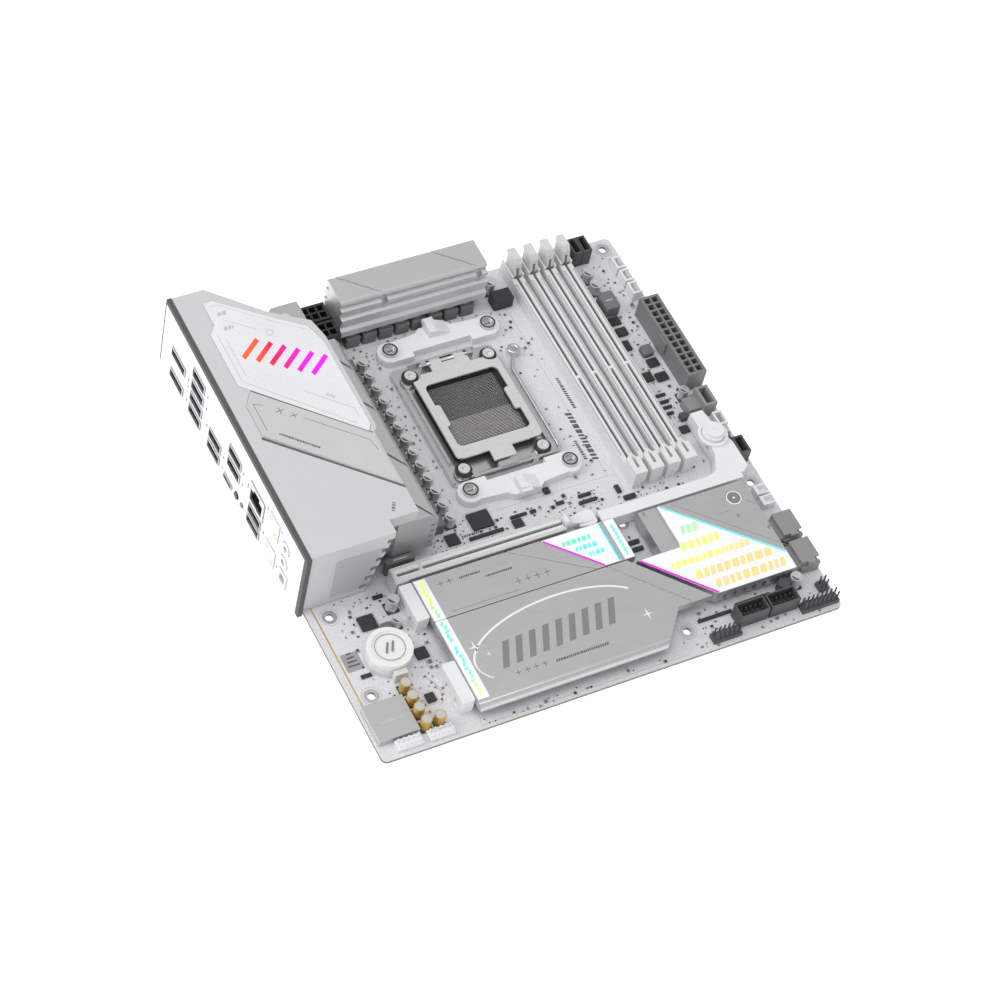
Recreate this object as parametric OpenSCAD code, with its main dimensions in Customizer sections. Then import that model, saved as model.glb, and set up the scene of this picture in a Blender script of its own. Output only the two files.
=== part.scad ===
// A compact desktop motherboard of the 244 mm square size, as an assembly.
// Board frame used by every module: x runs from the rear connector edge, y from the
// expansion edge towards the processor edge, and z is zero on the board's top face.
// The module seat() moves that frame so that the whole part stands on z = 0, centred.

/* [Board] */
// Side of the square circuit board
board_side = 243.84; // [243.84:0.01:244.2]
// Thickness of the circuit board
board_thick = 1.6; // [1.4:0.1:1.8]
// Radius of the mounting holes
mount_hole_r = 1.98; // [1.9:0.01:2.1]
// Depth of what stands below the board, down to the resting plane
under_depth = 2.4; // [2.3:0.05:2.6]

/* [Rear panel] */
// Outer face of the rear panel, outside the board edge
panel_reach = 3.0; // [2.8:0.1:3.2]
// Height of the panel and cover above the board
panel_high = 42.25; // [42:0.05:43]
// Near end of the panel along the rear edge
panel_near = 86.35; // [86:0.05:87]
// Far end of the panel along the rear edge
panel_far = 248.0; // [247.5:0.1:248.5]
// How far port shells stand out of the panel
shell_out = 0.6; // [0.4:0.1:1.0]
// Radius of the audio jack openings
jack_r = 1.78; // [1.75:0.01:1.8]

/* [Processor socket] */
// Spacing of the cooler screws along x
cooler_dx = 54.0; // [54:0.1:54.2]
// Spacing of the cooler screws along y
cooler_dy = 90.0; // [90:0.1:90.2]
// Radius of the lever wire
lever_r = 1.0; // [0.9:0.05:1.05]

/* [Memory slots] */
// Number of memory slots
slot_count = 4; // [4:1:4]
// First slot's centre line
slot_first_x = 182.7; // [182.2:0.1:183]
// Distance between slots
slot_pitch = 9.2; // [9.1:0.1:9.3]
// Height of the slot's long body
slot_high = 7.5; // [7:0.1:8]

/* [Covers] */
// Top of the drive and chipset plates
plate_top = 10.0; // [9.8:0.1:10.4]
// Thickness of the drive plate
plate_thick = 4.0; // [3.6:0.1:4.2]
// Top of the upper power heatsink
sink_top = 30.0; // [29:0.5:31]

/* [Hidden] */
$fn = 48;
shift_x = (board_side - panel_reach - shell_out) / 2;
shift_y = panel_far / 2;
shift_z = under_depth + board_thick;
mount_holes = [[10.16, 34.29], [10.16, 80.01], [165.10, 13.97], [165.10, 80.01],
  [237.49, 80.01], [33.02, 237.49], [165.10, 237.49], [237.49, 237.49]];
cooler_mid_x = 128.85;
cooler_mid_y = 164.47;
frame_screws = [[105, 132.5], [148, 132.5], [105, 192.5], [148, 192.5]];
choke_pitch = 8.2;
phase_count = 13;
first_phase_y = 108.2;
lever_axis_y = 128.3;
lever_axis_z = 2.8;
lever_arm_x = 156.4;
plate_axis_y = 196.6;
plate_axis_z = 4.3;
memory_pivot_y = 237.6;
memory_pivot_z = 3.2;
latch_pivot_x = 135.4;
latch_pivot_z = 3.0;
graphics_y = 83.95;
button_x = 228.5;
button_y = 107.0;
cover_outline = [[-0.6, 87.5], [42, 87.5], [42, 95], [57, 95], [57, 143], [59.5, 146],
  [59.5, 203], [57, 214], [40, 225], [16, 247.9], [-0.6, 247.9]];
cover_inside = [[1.0, 89.1], [40.4, 89.1], [40.4, 96.6], [55.4, 96.6], [55.4, 143.6],
  [57.9, 146.6], [57.9, 202.6], [55.6, 213], [39.1, 223.7], [15.3, 246.3], [1.0, 246.3]];

// Moves the board frame to the part's own frame.
module seat() { translate([-shift_x, -shift_y, shift_z]) children(); }
// A block between two corners.
module block(x0, x1, y0, y1, z0, z1) {
  translate([x0, y0, z0]) cube([x1 - x0, y1 - y0, z1 - z0]);
}
// A flat rectangle with true round corners.
module round_rect(x0, x1, y0, y1, r) {
  translate([x0 + r, y0]) square([x1 - x0 - 2 * r, y1 - y0]);
  translate([x0, y0 + r]) square([x1 - x0, y1 - y0 - 2 * r]);
  for (x = [x0 + r, x1 - r], y = [y0 + r, y1 - r]) translate([x, y]) circle(r);
}
module round_block(x0, x1, y0, y1, z0, z1, r) {
  translate([0, 0, z0]) linear_extrude(z1 - z0) round_rect(x0, x1, y0, y1, r);
}
// A prism with its outline seen from above.
module prism(points, z0, z1) {
  translate([0, 0, z0]) linear_extrude(z1 - z0) polygon(points);
}
// A prism along x, its outline given as [y, z] points.
module prism_x(points, x0, x1) {
  translate([x0, 0, 0]) rotate([90, 0, 90]) linear_extrude(x1 - x0) polygon(points);
}
// A prism along y, its outline given as [x, z] points.
module prism_y(points, y0, y1) {
  translate([0, y1, 0]) rotate([90, 0, 0]) linear_extrude(y1 - y0) polygon(points);
}
module rod(p, r, h) { translate(p) cylinder(r = r, h = h); }
module rod_x(p, r, h) { translate(p) rotate([0, 90, 0]) cylinder(r = r, h = h); }
module rod_y(p, r, h) { translate(p) rotate([-90, 0, 0]) cylinder(r = r, h = h); }
module at_cooler_screws() {
  for (i = [-0.5, 0.5], j = [-0.5, 0.5])
    translate([cooler_mid_x + i * cooler_dx, cooler_mid_y + j * cooler_dy, 0]) children();
}

// Circuit board with its mounting holes.
module pcb() {
  color("#e9e8ee") seat() difference() {
    round_block(0, board_side, 0, board_side, -board_thick, 0, 3);
    for (p = mount_holes) rod([p[0], p[1], -3], mount_hole_r, 5);
    at_cooler_screws() rod([0, 0, -3], 2.9, 5);
    for (p = frame_screws) rod([p[0], p[1], -3], 1.8, 5);
  }
}

// Openings of the rear panel: [near y, far y, low z, high z] of each port shell.
usb_ports = [[199.4, 212.8, 26.6, 32.6], [199.4, 212.8, 17.7, 23.7], [199.4, 212.8, 8.8, 14.8],
  [199.4, 212.8, 0.05, 5.9], [176.9, 190.3, 8.2, 14.2], [176.9, 190.3, 0.05, 5.6],
  [155.9, 169.3, 21.3, 27.3], [155.9, 169.3, 12.4, 18.4], [130.9, 144.3, 7.3, 13.3],
  [130.9, 144.3, 0.05, 5.3]];
type_c_port = [161.8, 171.0, 0.05, 3.3];
display_ports = [[220.4, 236.0, 15.6, 21.2], [220.4, 235.6, 0.4, 6.2]];
lan_port = [129.8, 145.4, 15.2, 28.8];
jack_spots = [[106, 26.2], [106, 15.8]];
optical_spot = [100.4, 108.6, 0.6, 9.4];
antenna_spots = [[113.8, 124.2, 20.4, 32.6], [113.8, 124.2, 0.2, 11.6]];
bios_spot = [156.6, 2.7];
clear_spot = [150.4, 2.7];
cut_gap = 0.3;

module panel_cut(b) {
  block(-4, -0.5, b[0] - cut_gap, b[1] + cut_gap, b[2] - cut_gap, b[3] + cut_gap);
}
// Thin rear panel with a cut-out for every port.
module io_panel() {
  color("#eeeeee") seat() difference() {
    block(-panel_reach, -2.0, 89.3, 247.0, -2.2, 39.6);
    for (b = usb_ports) panel_cut(b);
    for (b = display_ports) panel_cut(b);
    for (b = antenna_spots) panel_cut(b);
    panel_cut(type_c_port);
    panel_cut(lan_port);
    panel_cut(optical_spot);
    for (p = jack_spots) rod_x([-4, p[0], p[1]], 3.9, 4);
    rod_x([-4, bios_spot[0], bios_spot[1]], 2.3, 4);
    rod_x([-4, clear_spot[0], clear_spot[1]], 1.6, 4);
  }
}
// Dark sprung frame that seals the panel to the case.
module io_panel_frame() {
  color("#6e6e70") seat() difference() {
    block(-panel_reach, -0.6, panel_near, panel_far, -2.2, panel_high);
    block(-4, 1, 89.3, 247.0, -3, 39.6);
  }
}
// Moulded cover over the rear ports, open underneath.
module io_cover() {
  color("#dcdcde") seat() difference() {
    union() {
      prism(cover_outline, 40.2, panel_high - 0.25);
      prism_y([[-0.6, 0.3], [31, 0.3], [41.9, 40.3], [-0.6, 40.3]], 87.5, 89.1);
      block(40.4, 42, 87.5, 96.6, 34.8, 40.3);
      block(40.4, 57, 95, 96.6, 40.0, 40.3);
      difference() {
        prism(cover_outline, 34.8, 40.3);
        prism(cover_inside, 34, 40.2);
        block(-5, 60, 80, 95.1, 30, 41);
        block(-5, 1.1, 80, 250, 30, 40.2);
      }
      intersection() {
        difference() {
          prism(cover_outline, 0.3, 34.9);
          prism(cover_inside, 0, 36);
        }
        block(1.2, 39, 226.2, 250, 0, 36);
      }
      for (p = [[8, 151, 40.3], [47, 221, 40.3]]) rod([p[0], p[1], 30], 2.2, p[2] - 30);
    }
    prism(window_outline(0.15), panel_high - 1.25, 43);
    prism(trim_outline(0.15), panel_high - 1.05, 43);
    prism([[5.6, 156.6], [6.6, 158.0], [57.6, 110.4], [57.6, 108.6]], 41.2, 43);
    for (k = [0:5]) block(28.0 + 2.1 * k, 33.0 + 2.1 * k, 87, 90, 3.5 + 6.2 * k, 6.4 + 6.2 * k);
  }
}
function window_outline(g) = [[12 - g, 240 + g], [17 + g, 240 + g], [40 + g, 221.6 + g],
  [54 + g, 211 + g], [57.4 + g, 200], [57.4 + g, 148 - g], [55 + g, 144.4 - g],
  [8 - g, 189 - g], [8 - g, 221], [12 - g, 226]];
function trim_outline(g) = [[11.6 - g, 183.4 + g], [54.6 + g, 143.2 + g], [56.2 + g, 140.6],
  [56.2 + g, 112.4 - g], [6.8 - g, 158.6 - g], [6.8 - g, 176.8]];
// Translucent light window set into the cover.
module cover_window() {
  color("#f4f4f8") seat() prism(window_outline(0), panel_high - 1.25, panel_high - 0.1);
}
// Metal trim plate beside the window.
module cover_trim() {
  color("#cfcfd2") seat() prism(trim_outline(0), panel_high - 1.05, panel_high - 0.1);
}

// One notch between cooling fins, cut from a side face.
module side_notches(x0, depth, y0, y1, z0, count, step) {
  for (k = [0:count - 1]) block(x0 - depth, x0 + 1, y0, y1, z0 + k * step, z0 + k * step + 1.6);
}
// Finned aluminium block beside the rear ports.
module power_heatsink_side() {
  color("#bdbdc0") seat() difference() {
    union() {
      prism_y([[48, 8], [69.5, 8], [69.5, 29.5], [66.5, 33.6], [48, 34.4]], 95.3, 206);
      block(43.2, 55, 97.0, 112, 8, 39.6);
      block(52.5, 64, 104, 206, 1.8, 8.1);
      prism([[48, 205.9], [60.8, 205.9], [60.8, 236], [47, 236], [44, 233], [44, 224], [48, 219]],
        8, 29.6);
    }
    side_notches(69.5, 3.2, 90, 207, 11.5, 4, 4.4);
    for (y = [99.5, 131, 166, 192])
      translate([63.2, y, 33.2]) rotate([0, 0, -56]) cube([17, 1.1, 2.6], center = true);
  }
}
// Stepped aluminium block along the top edge.
module power_heatsink_top() {
  step_front = [[222.4, 9], [222.4, 13], [224.2, 14.2], [224.2, 17.2], [223.4, 17.8], [223.4, 20.4],
    [226.0, 21.2], [226.0, 23.0], [225.0, 23.4], [225.0, 25.4], [227.6, 26.0], [227.6, 27.8],
    [226.8, 28.1], [227.4, sink_top - 0.6], [228.3, sink_top]];
  step_back = [[243.0, sink_top], [243.7, sink_top - 0.6], [243.7, 27.4], [240.4, 26.8],
    [240.4, 24.6], [243.7, 24.0], [243.7, 20.6], [240.4, 20], [240.4, 17.8], [243.7, 17.2],
    [243.7, 13.8], [240.4, 13.2], [240.4, 11], [243.7, 10.4], [243.7, 6], [238, 6],
    [238, 1.8], [228, 1.8], [228, 6], [224.5, 9]];
  color("#a9a9ac") seat() difference() {
    prism_x(concat(step_front, step_back), 80.5, 160.5);
    for (x = [94.1, 145.9]) translate([x, 234.85, sink_top]) rotate([0, 0, -41.2])
      cube([30, 1.2, 2.4], center = true);
    for (x = [103.2, 155.0]) block(x - 0.7, x + 2.3, 222, 227.5, 20.8, 28.2);
  }
}
// Switching chips under the two heatsinks.
module power_stages() {
  color("#242426") seat() {
    for (k = [0:phase_count - 2]) block(55.5, 61.5, 109 + k * choke_pitch, 114 + k * choke_pitch, 0, 1);
    for (k = [0:7]) block(87.5 + 9 * k, 92.5 + 9 * k, 229.5, 235.5, 0, 1);
  }
}
// Soft pads between the chips and the heatsinks.
module thermal_pads() {
  color("#9fb4c8") seat() {
    block(53.5, 63, 105, 205, 1.0, 1.8);
    block(84, 158, 228.6, 236.6, 1.0, 1.8);
    block(66, 142, 62, 74, 4.6, 6.0);
    block(66, 142, 17, 31, 4.6, 6.0);
    block(197, 217, 39, 59, 1.8, 3.0);
  }
}
// Moulded power inductors.
module choke(x, y, w, l, h) { round_block(x - w / 2, x + w / 2, y - l / 2, y + l / 2, 0, h, 0.8); }
module power_chokes() {
  color("#6f6f72") seat() {
    for (k = [0:phase_count - 1]) choke(76.6, first_phase_y + k * choke_pitch, 9.6, 7.0, 7);
    for (k = [0:7]) choke(88 + 9 * k, 223.9, 7.4, 5.4, 6.6);
    choke(221.0, 201.7, 8, 11, 7);
    choke(51.5, 93.3, 15, 3.2, 9);
    choke(31.8, 64.4, 5, 5, 3);
    choke(226.5, 169.5, 6, 6, 3);
  }
}
// Round solid capacitors: a can on a square base.
module can(x, y, r, h) {
  block(x - r, x + r, y - r, y + r, 0, 0.9);
  rod([x, y, 0.8], r - 0.1, h - 0.8);
}
module power_capacitors() {
  color("#d9d9dc") seat() {
    for (k = [0:phase_count - 1]) can(85.6, first_phase_y + k * choke_pitch, 2.9, 7.4);
    can(39.0, 74.5, 3.1, 8);
    can(37.0, 65.0, 2.6, 6);
    can(168.0, 231.5, 3.1, 8);
    can(226.5, 18.9, 3.1, 8);
    can(219.6, 213.5, 3.1, 7);
    can(219.6, 221.5, 3.1, 7);
    can(230.0, 138.2, 2.6, 7);
  }
}

// Steel plate under the board, with threaded posts for the cooler and the frame.
module socket_backplate() {
  low = -board_thick - under_depth;
  color("#8a8a8e") seat() difference() {
    union() {
      round_block(95, 162.7, 112.5, 216.5, low, -board_thick - 0.3, 5);
      round_block(96, 161.7, 113.5, 215.5, -board_thick - 0.35, -board_thick, 4);
      at_cooler_screws() rod([0, 0, -board_thick - 1], 2.7, board_thick + 1.4);
    }
    round_block(113, 144.5, 150, 178, low - 1, 1, 3);
    at_cooler_screws() rod([0, 0, low - 1], 1.75, 6);
    for (p = frame_screws) rod([p[0], p[1], low - 1], 1.5, 6);
  }
}
// Plastic housing that carries the spring contacts.
module socket_housing() {
  color("#3a3a3d") seat() difference() {
    round_block(105.2, 150.4, 140.6, 187.4, 0, 3.9, 1.5);
    block(109.2, 146.6, 145.0, 183.0, 2.4, 5);
  }
}
// Bed that carries the contacts.
module socket_contacts() {
  color("#55504a") seat() block(109.2, 146.6, 145.0, 183.0, 2.4, 2.9);
}
// Steel frame round the socket, with its lever lugs and plastic corners.
module socket_frame() {
  color("#c9c9cc") seat() difference() {
    union() {
      round_block(96.8, 153.6, 126.0, 200.2, 0, 1.4, 3);
      block(96.8, 98.2, 127, 197, 1.3, 3.6);
      block(100.4, 101.6, 139, 188, 1.3, 3.0);
      block(152.0, 153.4, 137, 190, 1.3, 3.4);
      block(107, 143, 199.0, 200.2, 1.3, 4.0);
      for (x = [108, 140]) block(x, x + 3, 126.3, 130.2, 1.3, 4.6);
      for (x = [112.5, 137.5]) block(x, x + 3, 194.8, 198.6, 1.3, 6.1);
      for (p = frame_screws) rod([p[0], p[1], 0], 4.1, 3.0);
    }
    round_block(104.6, 151, 140, 188, -1, 9, 1.5);
    for (p = frame_screws) rod([p[0], p[1], -1], 1.8, 9);
    rod_x([100, lever_axis_y, lever_axis_z], lever_r + 0.06, 60);
    rod_x([100, plate_axis_y, plate_axis_z], 1.0 + 0.06, 50);
  }
}
// Stamped plate that holds the processor down; it swings on the far hinge.
module socket_load_plate() {
  color("#dededf") seat() difference() {
    union() {
      round_block(104.2, 150.8, 137.6, 190.4, 5.2, 6.3, 3);
      block(116.2, 136.8, 190.0, 194.2, 5.2, 6.3);
      for (x = [117.2, 130.2]) {
        block(x, x + 5.6, 194.0, 196.8, 5.2, 6.3);
        rod_x([x, plate_axis_y, plate_axis_z], 2.0, 5.6);
      }
      rod_x([112.2, plate_axis_y, plate_axis_z], 1.0, 28.6);
      round_block(121, 133, 131.2, 138.6, 5.2, 6.3, 1.5);
    }
    difference() {
      round_block(108, 147.4, 144.2, 183.6, 4, 8, 3);
      round_block(103, 110.2, 157.4, 170.8, 3, 9, 1.4);
      round_block(144.8, 152, 156.2, 169.8, 3, 9, 1.4);
    }
    for (p = frame_screws) rod([p[0], p[1], 3], 5.0, 9);
  }
}
// Bent wire lever; its long arm lies beside the frame at rest. The bends are parts of a torus.
module wire_bend(centre, bend_r, start, turn) {
  translate(centre) rotate([0, 0, start]) rotate_extrude(angle = turn) translate([bend_r, 0]) circle(lever_r);
}
module socket_lever() {
  az = lever_axis_z;
  ay = lever_axis_y;
  corner_r = 3;
  sway_r = 6;
  sway = 30;
  sway_y = 180;
  tail = 8;
  ring_r = 2.4;
  tail_x = lever_arm_x + sway_r * (1 - cos(sway));
  tail_y = sway_y + sway_r * sin(sway);
  reach = tail + ring_r;
  color("#b4b4b8") seat() {
    rod_x([107.3, ay, az], lever_r, lever_arm_x - corner_r - 107.3);
    block(122.6, 132.4, ay - 0.7, ay + 2.2, az - 0.7, az + 2.4);
    wire_bend([lever_arm_x - corner_r, ay + corner_r, az], corner_r, -90, 90);
    rod_y([lever_arm_x, ay + corner_r, az], lever_r, sway_y - ay - corner_r);
    wire_bend([lever_arm_x + sway_r, sway_y, az], sway_r, 180 - sway, sway);
    translate([tail_x, tail_y, az]) rotate([0, 0, -sway]) rod_y([0, 0, 0], lever_r, tail);
    translate([tail_x + reach * sin(sway), tail_y + reach * cos(sway), az])
      rotate_extrude() translate([ring_r, 0]) circle(lever_r * 1.06);
  }
}
// Screws through the frame into the backplate.
module socket_screws() {
  color("#d6d6d8") seat() for (p = frame_screws) difference() {
    union() {
      rod([p[0], p[1], 3.0], 2.9, 2.4);
      rod([p[0], p[1], -board_thick - 1.9], 1.45, board_thick + 1.9 + 3.1);
    }
    translate([p[0], p[1], 4.0]) cylinder(r = 1.5, h = 3, $fn = 6);
  }
}
// White clip rails for the cooler; each has a hook lug in the middle.
module clip_rail() {
  difference() {
    union() {
      for (i = [-0.5, 0.5]) rod([i * cooler_dx, 0, 0], 6.2, 4.6);
      prism([[-27, -6.2], [27, -6.2], [27, 5.2], [10, 6.6], [7, 9.0], [-7, 9.0], [-10, 6.6], [-27, 5.2]],
        0, 4.6);
      prism_y([[-4.6, 1.2], [-4.6, 9.4], [-0.6, 8.8], [7.6, 4.6], [7.6, 1.2]], 1.5, 9.4);
      prism_x([[7.6, 3.0], [11.2, 6.2], [11.2, 8.2], [6.2, 8.2], [6.2, 5.5]], -4.6, 1.0);
    }
    for (i = [-0.5, 0.5]) {
      rod([i * cooler_dx, 0, -1], 2.9, 3.4);
      rod([i * cooler_dx, 0, -1], 2.0, 9);
    }
    block(-16, 16, -7, -3.4, -1, 9);
  }
}
module cooler_brackets() {
  color("#e6e6e8") seat() {
    translate([cooler_mid_x, cooler_mid_y + cooler_dy / 2, 0]) clip_rail();
    translate([cooler_mid_x, cooler_mid_y - cooler_dy / 2, 0]) mirror([0, 1, 0]) clip_rail();
  }
}
module cooler_screws() {
  color("#c8c8ca") seat() at_cooler_screws() difference() {
    union() {
      rod([0, 0, 4.6], 3.9, 2.2);
      rod([0, 0, -board_thick - 1.5], 1.68, board_thick + 6.2);
    }
    rod([0, 0, 5.4], 2.6, 2);
    translate([0, 0, 4.9]) cube([3.4, 0.8, 1.4], center = true);
  }
}

// One memory slot: long body, fixed end and the cheeks of its latch.
module memory_slot(c) {
  difference() {
    union() {
      block(c - 3.3, c + 3.3, 105.8, 229.4, 0, slot_high);
      block(c - 3.3, c + 3.3, 96.6, 106.4, 0, 12);
      block(c - 2.0, c + 2.0, 106.3, 108.2, 7, 11);
      for (s = [-1, 1]) block(c + 2.9 * s - 0.5, c + 2.9 * s + 0.5, 229.3, 241.4, 0, 9.5);
    }
    block(c - 0.75, c + 0.75, 100.2, 161.9, 2.2, 13);
    block(c - 0.75, c + 0.75, 163.5, 230, 2.2, 9);
    block(c + 1.9, c + 3.6, 96, 98.2, 0.6, 3.4);
    for (s = [-1, 1]) block(c + 2.55 * s - 0.5, c + 2.55 * s + 0.5, 112, 226, 6.3, 8);
    rod_x([c - 5, memory_pivot_y, memory_pivot_z], 0.97, 10);
  }
}
module memory_slots() {
  color("#d8d8da") seat() for (i = [0:slot_count - 1]) memory_slot(slot_first_x + i * slot_pitch);
}
// Thumb latch at the far end of a slot; it tips outwards.
module memory_latch(i) {
  c = slot_first_x + (i - 1) * slot_pitch;
  color("#cdcdd0") seat() {
    difference() {
      prism_x([[231.0, 2.0], [238.8, 2.0], [239.6, 4.4], [239.4, 15.2], [240.8, 16.6], [240.8, 18.0],
        [233.4, 18.0], [231.6, 15.4], [230.2, 9.6], [230.2, 8.2], [231.0, 7.6]], c - 2.1, c + 2.1);
      block(c - 0.75, c + 0.75, 229, 233.6, 2.6, 13.2);
    }
    rod_x([c - 3.3, memory_pivot_y, memory_pivot_z], 0.9, 6.6);
  }
}
module memory_latch_1() { memory_latch(1); }
module memory_latch_2() { memory_latch(2); }
module memory_latch_3() { memory_latch(3); }
module memory_latch_4() { memory_latch(4); }

// Long expansion slot with its card groove and latch cheeks.
module graphics_slot() {
  color("#b9b9bd") seat() difference() {
    union() {
      block(43.4, 132.2, graphics_y - 3.6, graphics_y + 3.6, 0, 11.0);
      for (s = [-1, 1]) block(132.1, 138.4, graphics_y + 3.0 * s - 0.5, graphics_y + 3.0 * s + 0.5, 0, 6.6);
    }
    block(45.0, 56.6, graphics_y - 0.85, graphics_y + 0.85, 2.6, 12);
    block(58.4, 133.0, graphics_y - 0.85, graphics_y + 0.85, 2.6, 12);
    rod_y([latch_pivot_x, graphics_y - 5, latch_pivot_z], 0.97, 10);
  }
}
// Metal jacket round the slot.
module graphics_slot_shell() {
  color("#d4d4d6") seat() difference() {
    block(42.8, 132.6, graphics_y - 4.2, graphics_y + 4.2, 0.4, 11.4);
    block(43.4, 133.2, graphics_y - 3.6, graphics_y + 3.6, -1, 11.0);
    block(44.2, 56.8, graphics_y - 2.6, graphics_y + 2.6, 8, 12);
    block(58.2, 133.2, graphics_y - 2.6, graphics_y + 2.6, 8, 12);
  }
}
// Paddle at the slot's end; it tips down to free the card.
module graphics_latch() {
  px = latch_pivot_x;
  color("#e8e8ea") seat() {
    prism_y([[133.6, 2.2], [137.0, 1.6], [138.6, 3.6], [150, 6.6], [150.4, 8.6], [143, 9.4],
      [137.6, 11.0], [134.6, 14.2], [133.2, 14.2], [133.0, 11.6]], graphics_y - 2.2, graphics_y + 2.2);
    prism([[141, graphics_y - 3.6], [148.6, graphics_y - 4.6], [150.4, graphics_y - 3],
      [150.4, graphics_y + 3], [148.6, graphics_y + 4.6], [141, graphics_y + 3.6]], 6.6, 8.6);
    rod_y([px, graphics_y - 3.6, latch_pivot_z], 0.9, 7.2);
  }
}

// White channel that hides the release linkage, with a round seat for the button.
release_outline = [[152.6, 79.4], [236.4, 79.4], [236.4, 100], [232.8, 112], [231.2, 122.6],
  [224.4, 122.6], [224.4, 97], [219.6, 87.2], [214, 85.6], [152.6, 85.6]];
module release_cover() {
  color("#ebebed") seat() difference() {
    union() {
      prism(release_outline, 0.4, 8.6);
      rod([button_x, button_y, 8.5], 7.6, 1.6);
    }
    block(151, 231, 81.2, 84.0, 1.6, 7.0);
    block(226.2, 230.8, 82, 113, 1.6, 7.0);
    rod([button_x, button_y, 4.2], 6.0, 7);
    rod([237.49, 80.01, -1], 5.0, 20);
    block(231, 240, 74, 82.4, -1, 20);
  }
}
// Stepped round button; pressing it drives the slider.
module release_button() {
  color("#f0f0f2") seat() {
    rod([button_x, button_y, 7.5], 5.7, 4.3);
    rod([button_x, button_y, 11.7], 4.6, 1.6);
    difference() {
      rod([button_x + 1.6, button_y + 2.6, 13.2], 3.0, 3.2);
      translate([button_x, button_y, 20.0]) rotate([-24, 18, 0]) cube([30, 30, 11], center = true);
    }
  }
}
// Slider under the button and the rod that reaches the slot latch.
module release_slider() {
  color("#bcbcbe") seat() block(226.8, 230.2, 86.5, 109, 2.2, 4.0);
}
module release_rod() {
  color("#bcbcbe") seat() block(155, 225.4, 81.8, 83.4, 2.6, 4.2);
}

// Lower drive cover plate with a rounded front edge.
function arc(cx, cy, r, a0, a1, n) =
  [for (k = [0:n]) [cx + r * cos(a0 + (a1 - a0) * k / n), cy + r * sin(a0 + (a1 - a0) * k / n)]];
plate_low = plate_top - plate_thick;
module drive_heatsink_lower() {
  front = arc(8.6, plate_top - 3.2, 3.2, 90, 180, 8);
  color("#c4c4c6") seat() difference() {
    intersection() {
      prism_x(concat([[54.6, plate_low], [54.6, plate_top]], front, [[5.4, plate_low]]), 50.4, 183);
      prism([[50.4, 0], [144, 0], [163, 22.4], [181.4, 22.4], [151.9, 54.6], [50.4, 54.6]], 0, 20);
    }
    prism([[140.4, 55], [141.4, 55], [171.6, 22], [170.6, 22]], plate_top - 0.5, 12);
    block(50.9, 56.7, 9.6, 54.7, plate_top - 0.9, 12);
  }
}
// Upper drive cover plate.
module drive_heatsink_upper() {
  color("#c0c0c3") seat() difference() {
    block(50.4, 157.2, 55.0, 79.0, plate_low, plate_top);
    block(50.9, 56.7, 54, 78.4, plate_top - 0.9, 12);
    block(151.7, 156.9, 55.4, 78.6, plate_top - 0.9, 12);
    prism([[117.2, 78.7], [149.6, 78.7], [149.6, 55.3], [140.8, 55.3]], plate_top - 0.9, 12);
    prism([[98.6, 79.1], [99.8, 79.1], [137, 55], [135.8, 55]], plate_top - 0.5, 12);
  }
}
// Bright inlays of the drive plates.
module drive_light_strips() {
  low = plate_top - 0.9;
  color("#f4f4f6") seat() {
    block(50.9, 56.7, 9.6, 54.55, low, plate_top + 0.1);
    block(50.9, 56.7, 55.05, 78.4, low, plate_top + 0.1);
    block(151.7, 156.9, 55.4, 78.6, low, plate_top + 0.1);
    prism([[118.1, 78.5], [149.4, 78.5], [149.4, 55.5], [141.2, 55.5]], low, plate_top + 0.1);
  }
}
// Edge connectors for the two drives, under the plates.
module drive_connectors() {
  color("#2b2b2d") seat() for (y = [57.0, 13.0]) difference() {
    block(56.0, 62.5, y, y + 22, 0, 4.2);
    block(60.0, 63.0, y + 1.0, y + 15.6, 2.0, 3.1);
    block(60.0, 63.0, y + 16.4, y + 21, 2.0, 3.1);
  }
}
// Turning latch that holds the lower drive's end.
module drive_latch() {
  color("#f0f0f0") seat() {
    difference() {
      union() {
        rod([146.5, 24, 2.3], 2.6, 1.6);
        block(142.8, 146.5, 23, 25, 2.3, 3.9);
      }
      rod([146.5, 24, 2], 0.97, 3);
    }
  }
}
module drive_standoffs() {
  color("#c9a648") seat() {
    rod([146.5, 24, 0], 2.2, 2.0);
    rod([146.5, 24, 1.9], 0.9, 2.6);
    for (p = [[190, 70], [223, 28.5]]) rod([p[0], p[1], 0], 2.0, 3.0);
    rod([146.5, 68, 0], 2.2, 2.6);
    for (p = [[60.5, 11.0], [150, 40]]) rod([p[0], p[1], 0], 1.5, 6);
  }
}
// White blocks at the plates' connector end.
module end_blocks() {
  color("#ececee") seat() for (y = [[58.2, 79.0], [10.6, 33.2]]) difference() {
    round_block(43.6, 50.2, y[0], y[1], 0, 9.4, 0.8);
    for (k = [0:1]) block(42, 44.4, y[0] + 3 + 9 * k, y[0] + 7 + 9 * k, 1, 5);
  }
}

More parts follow.
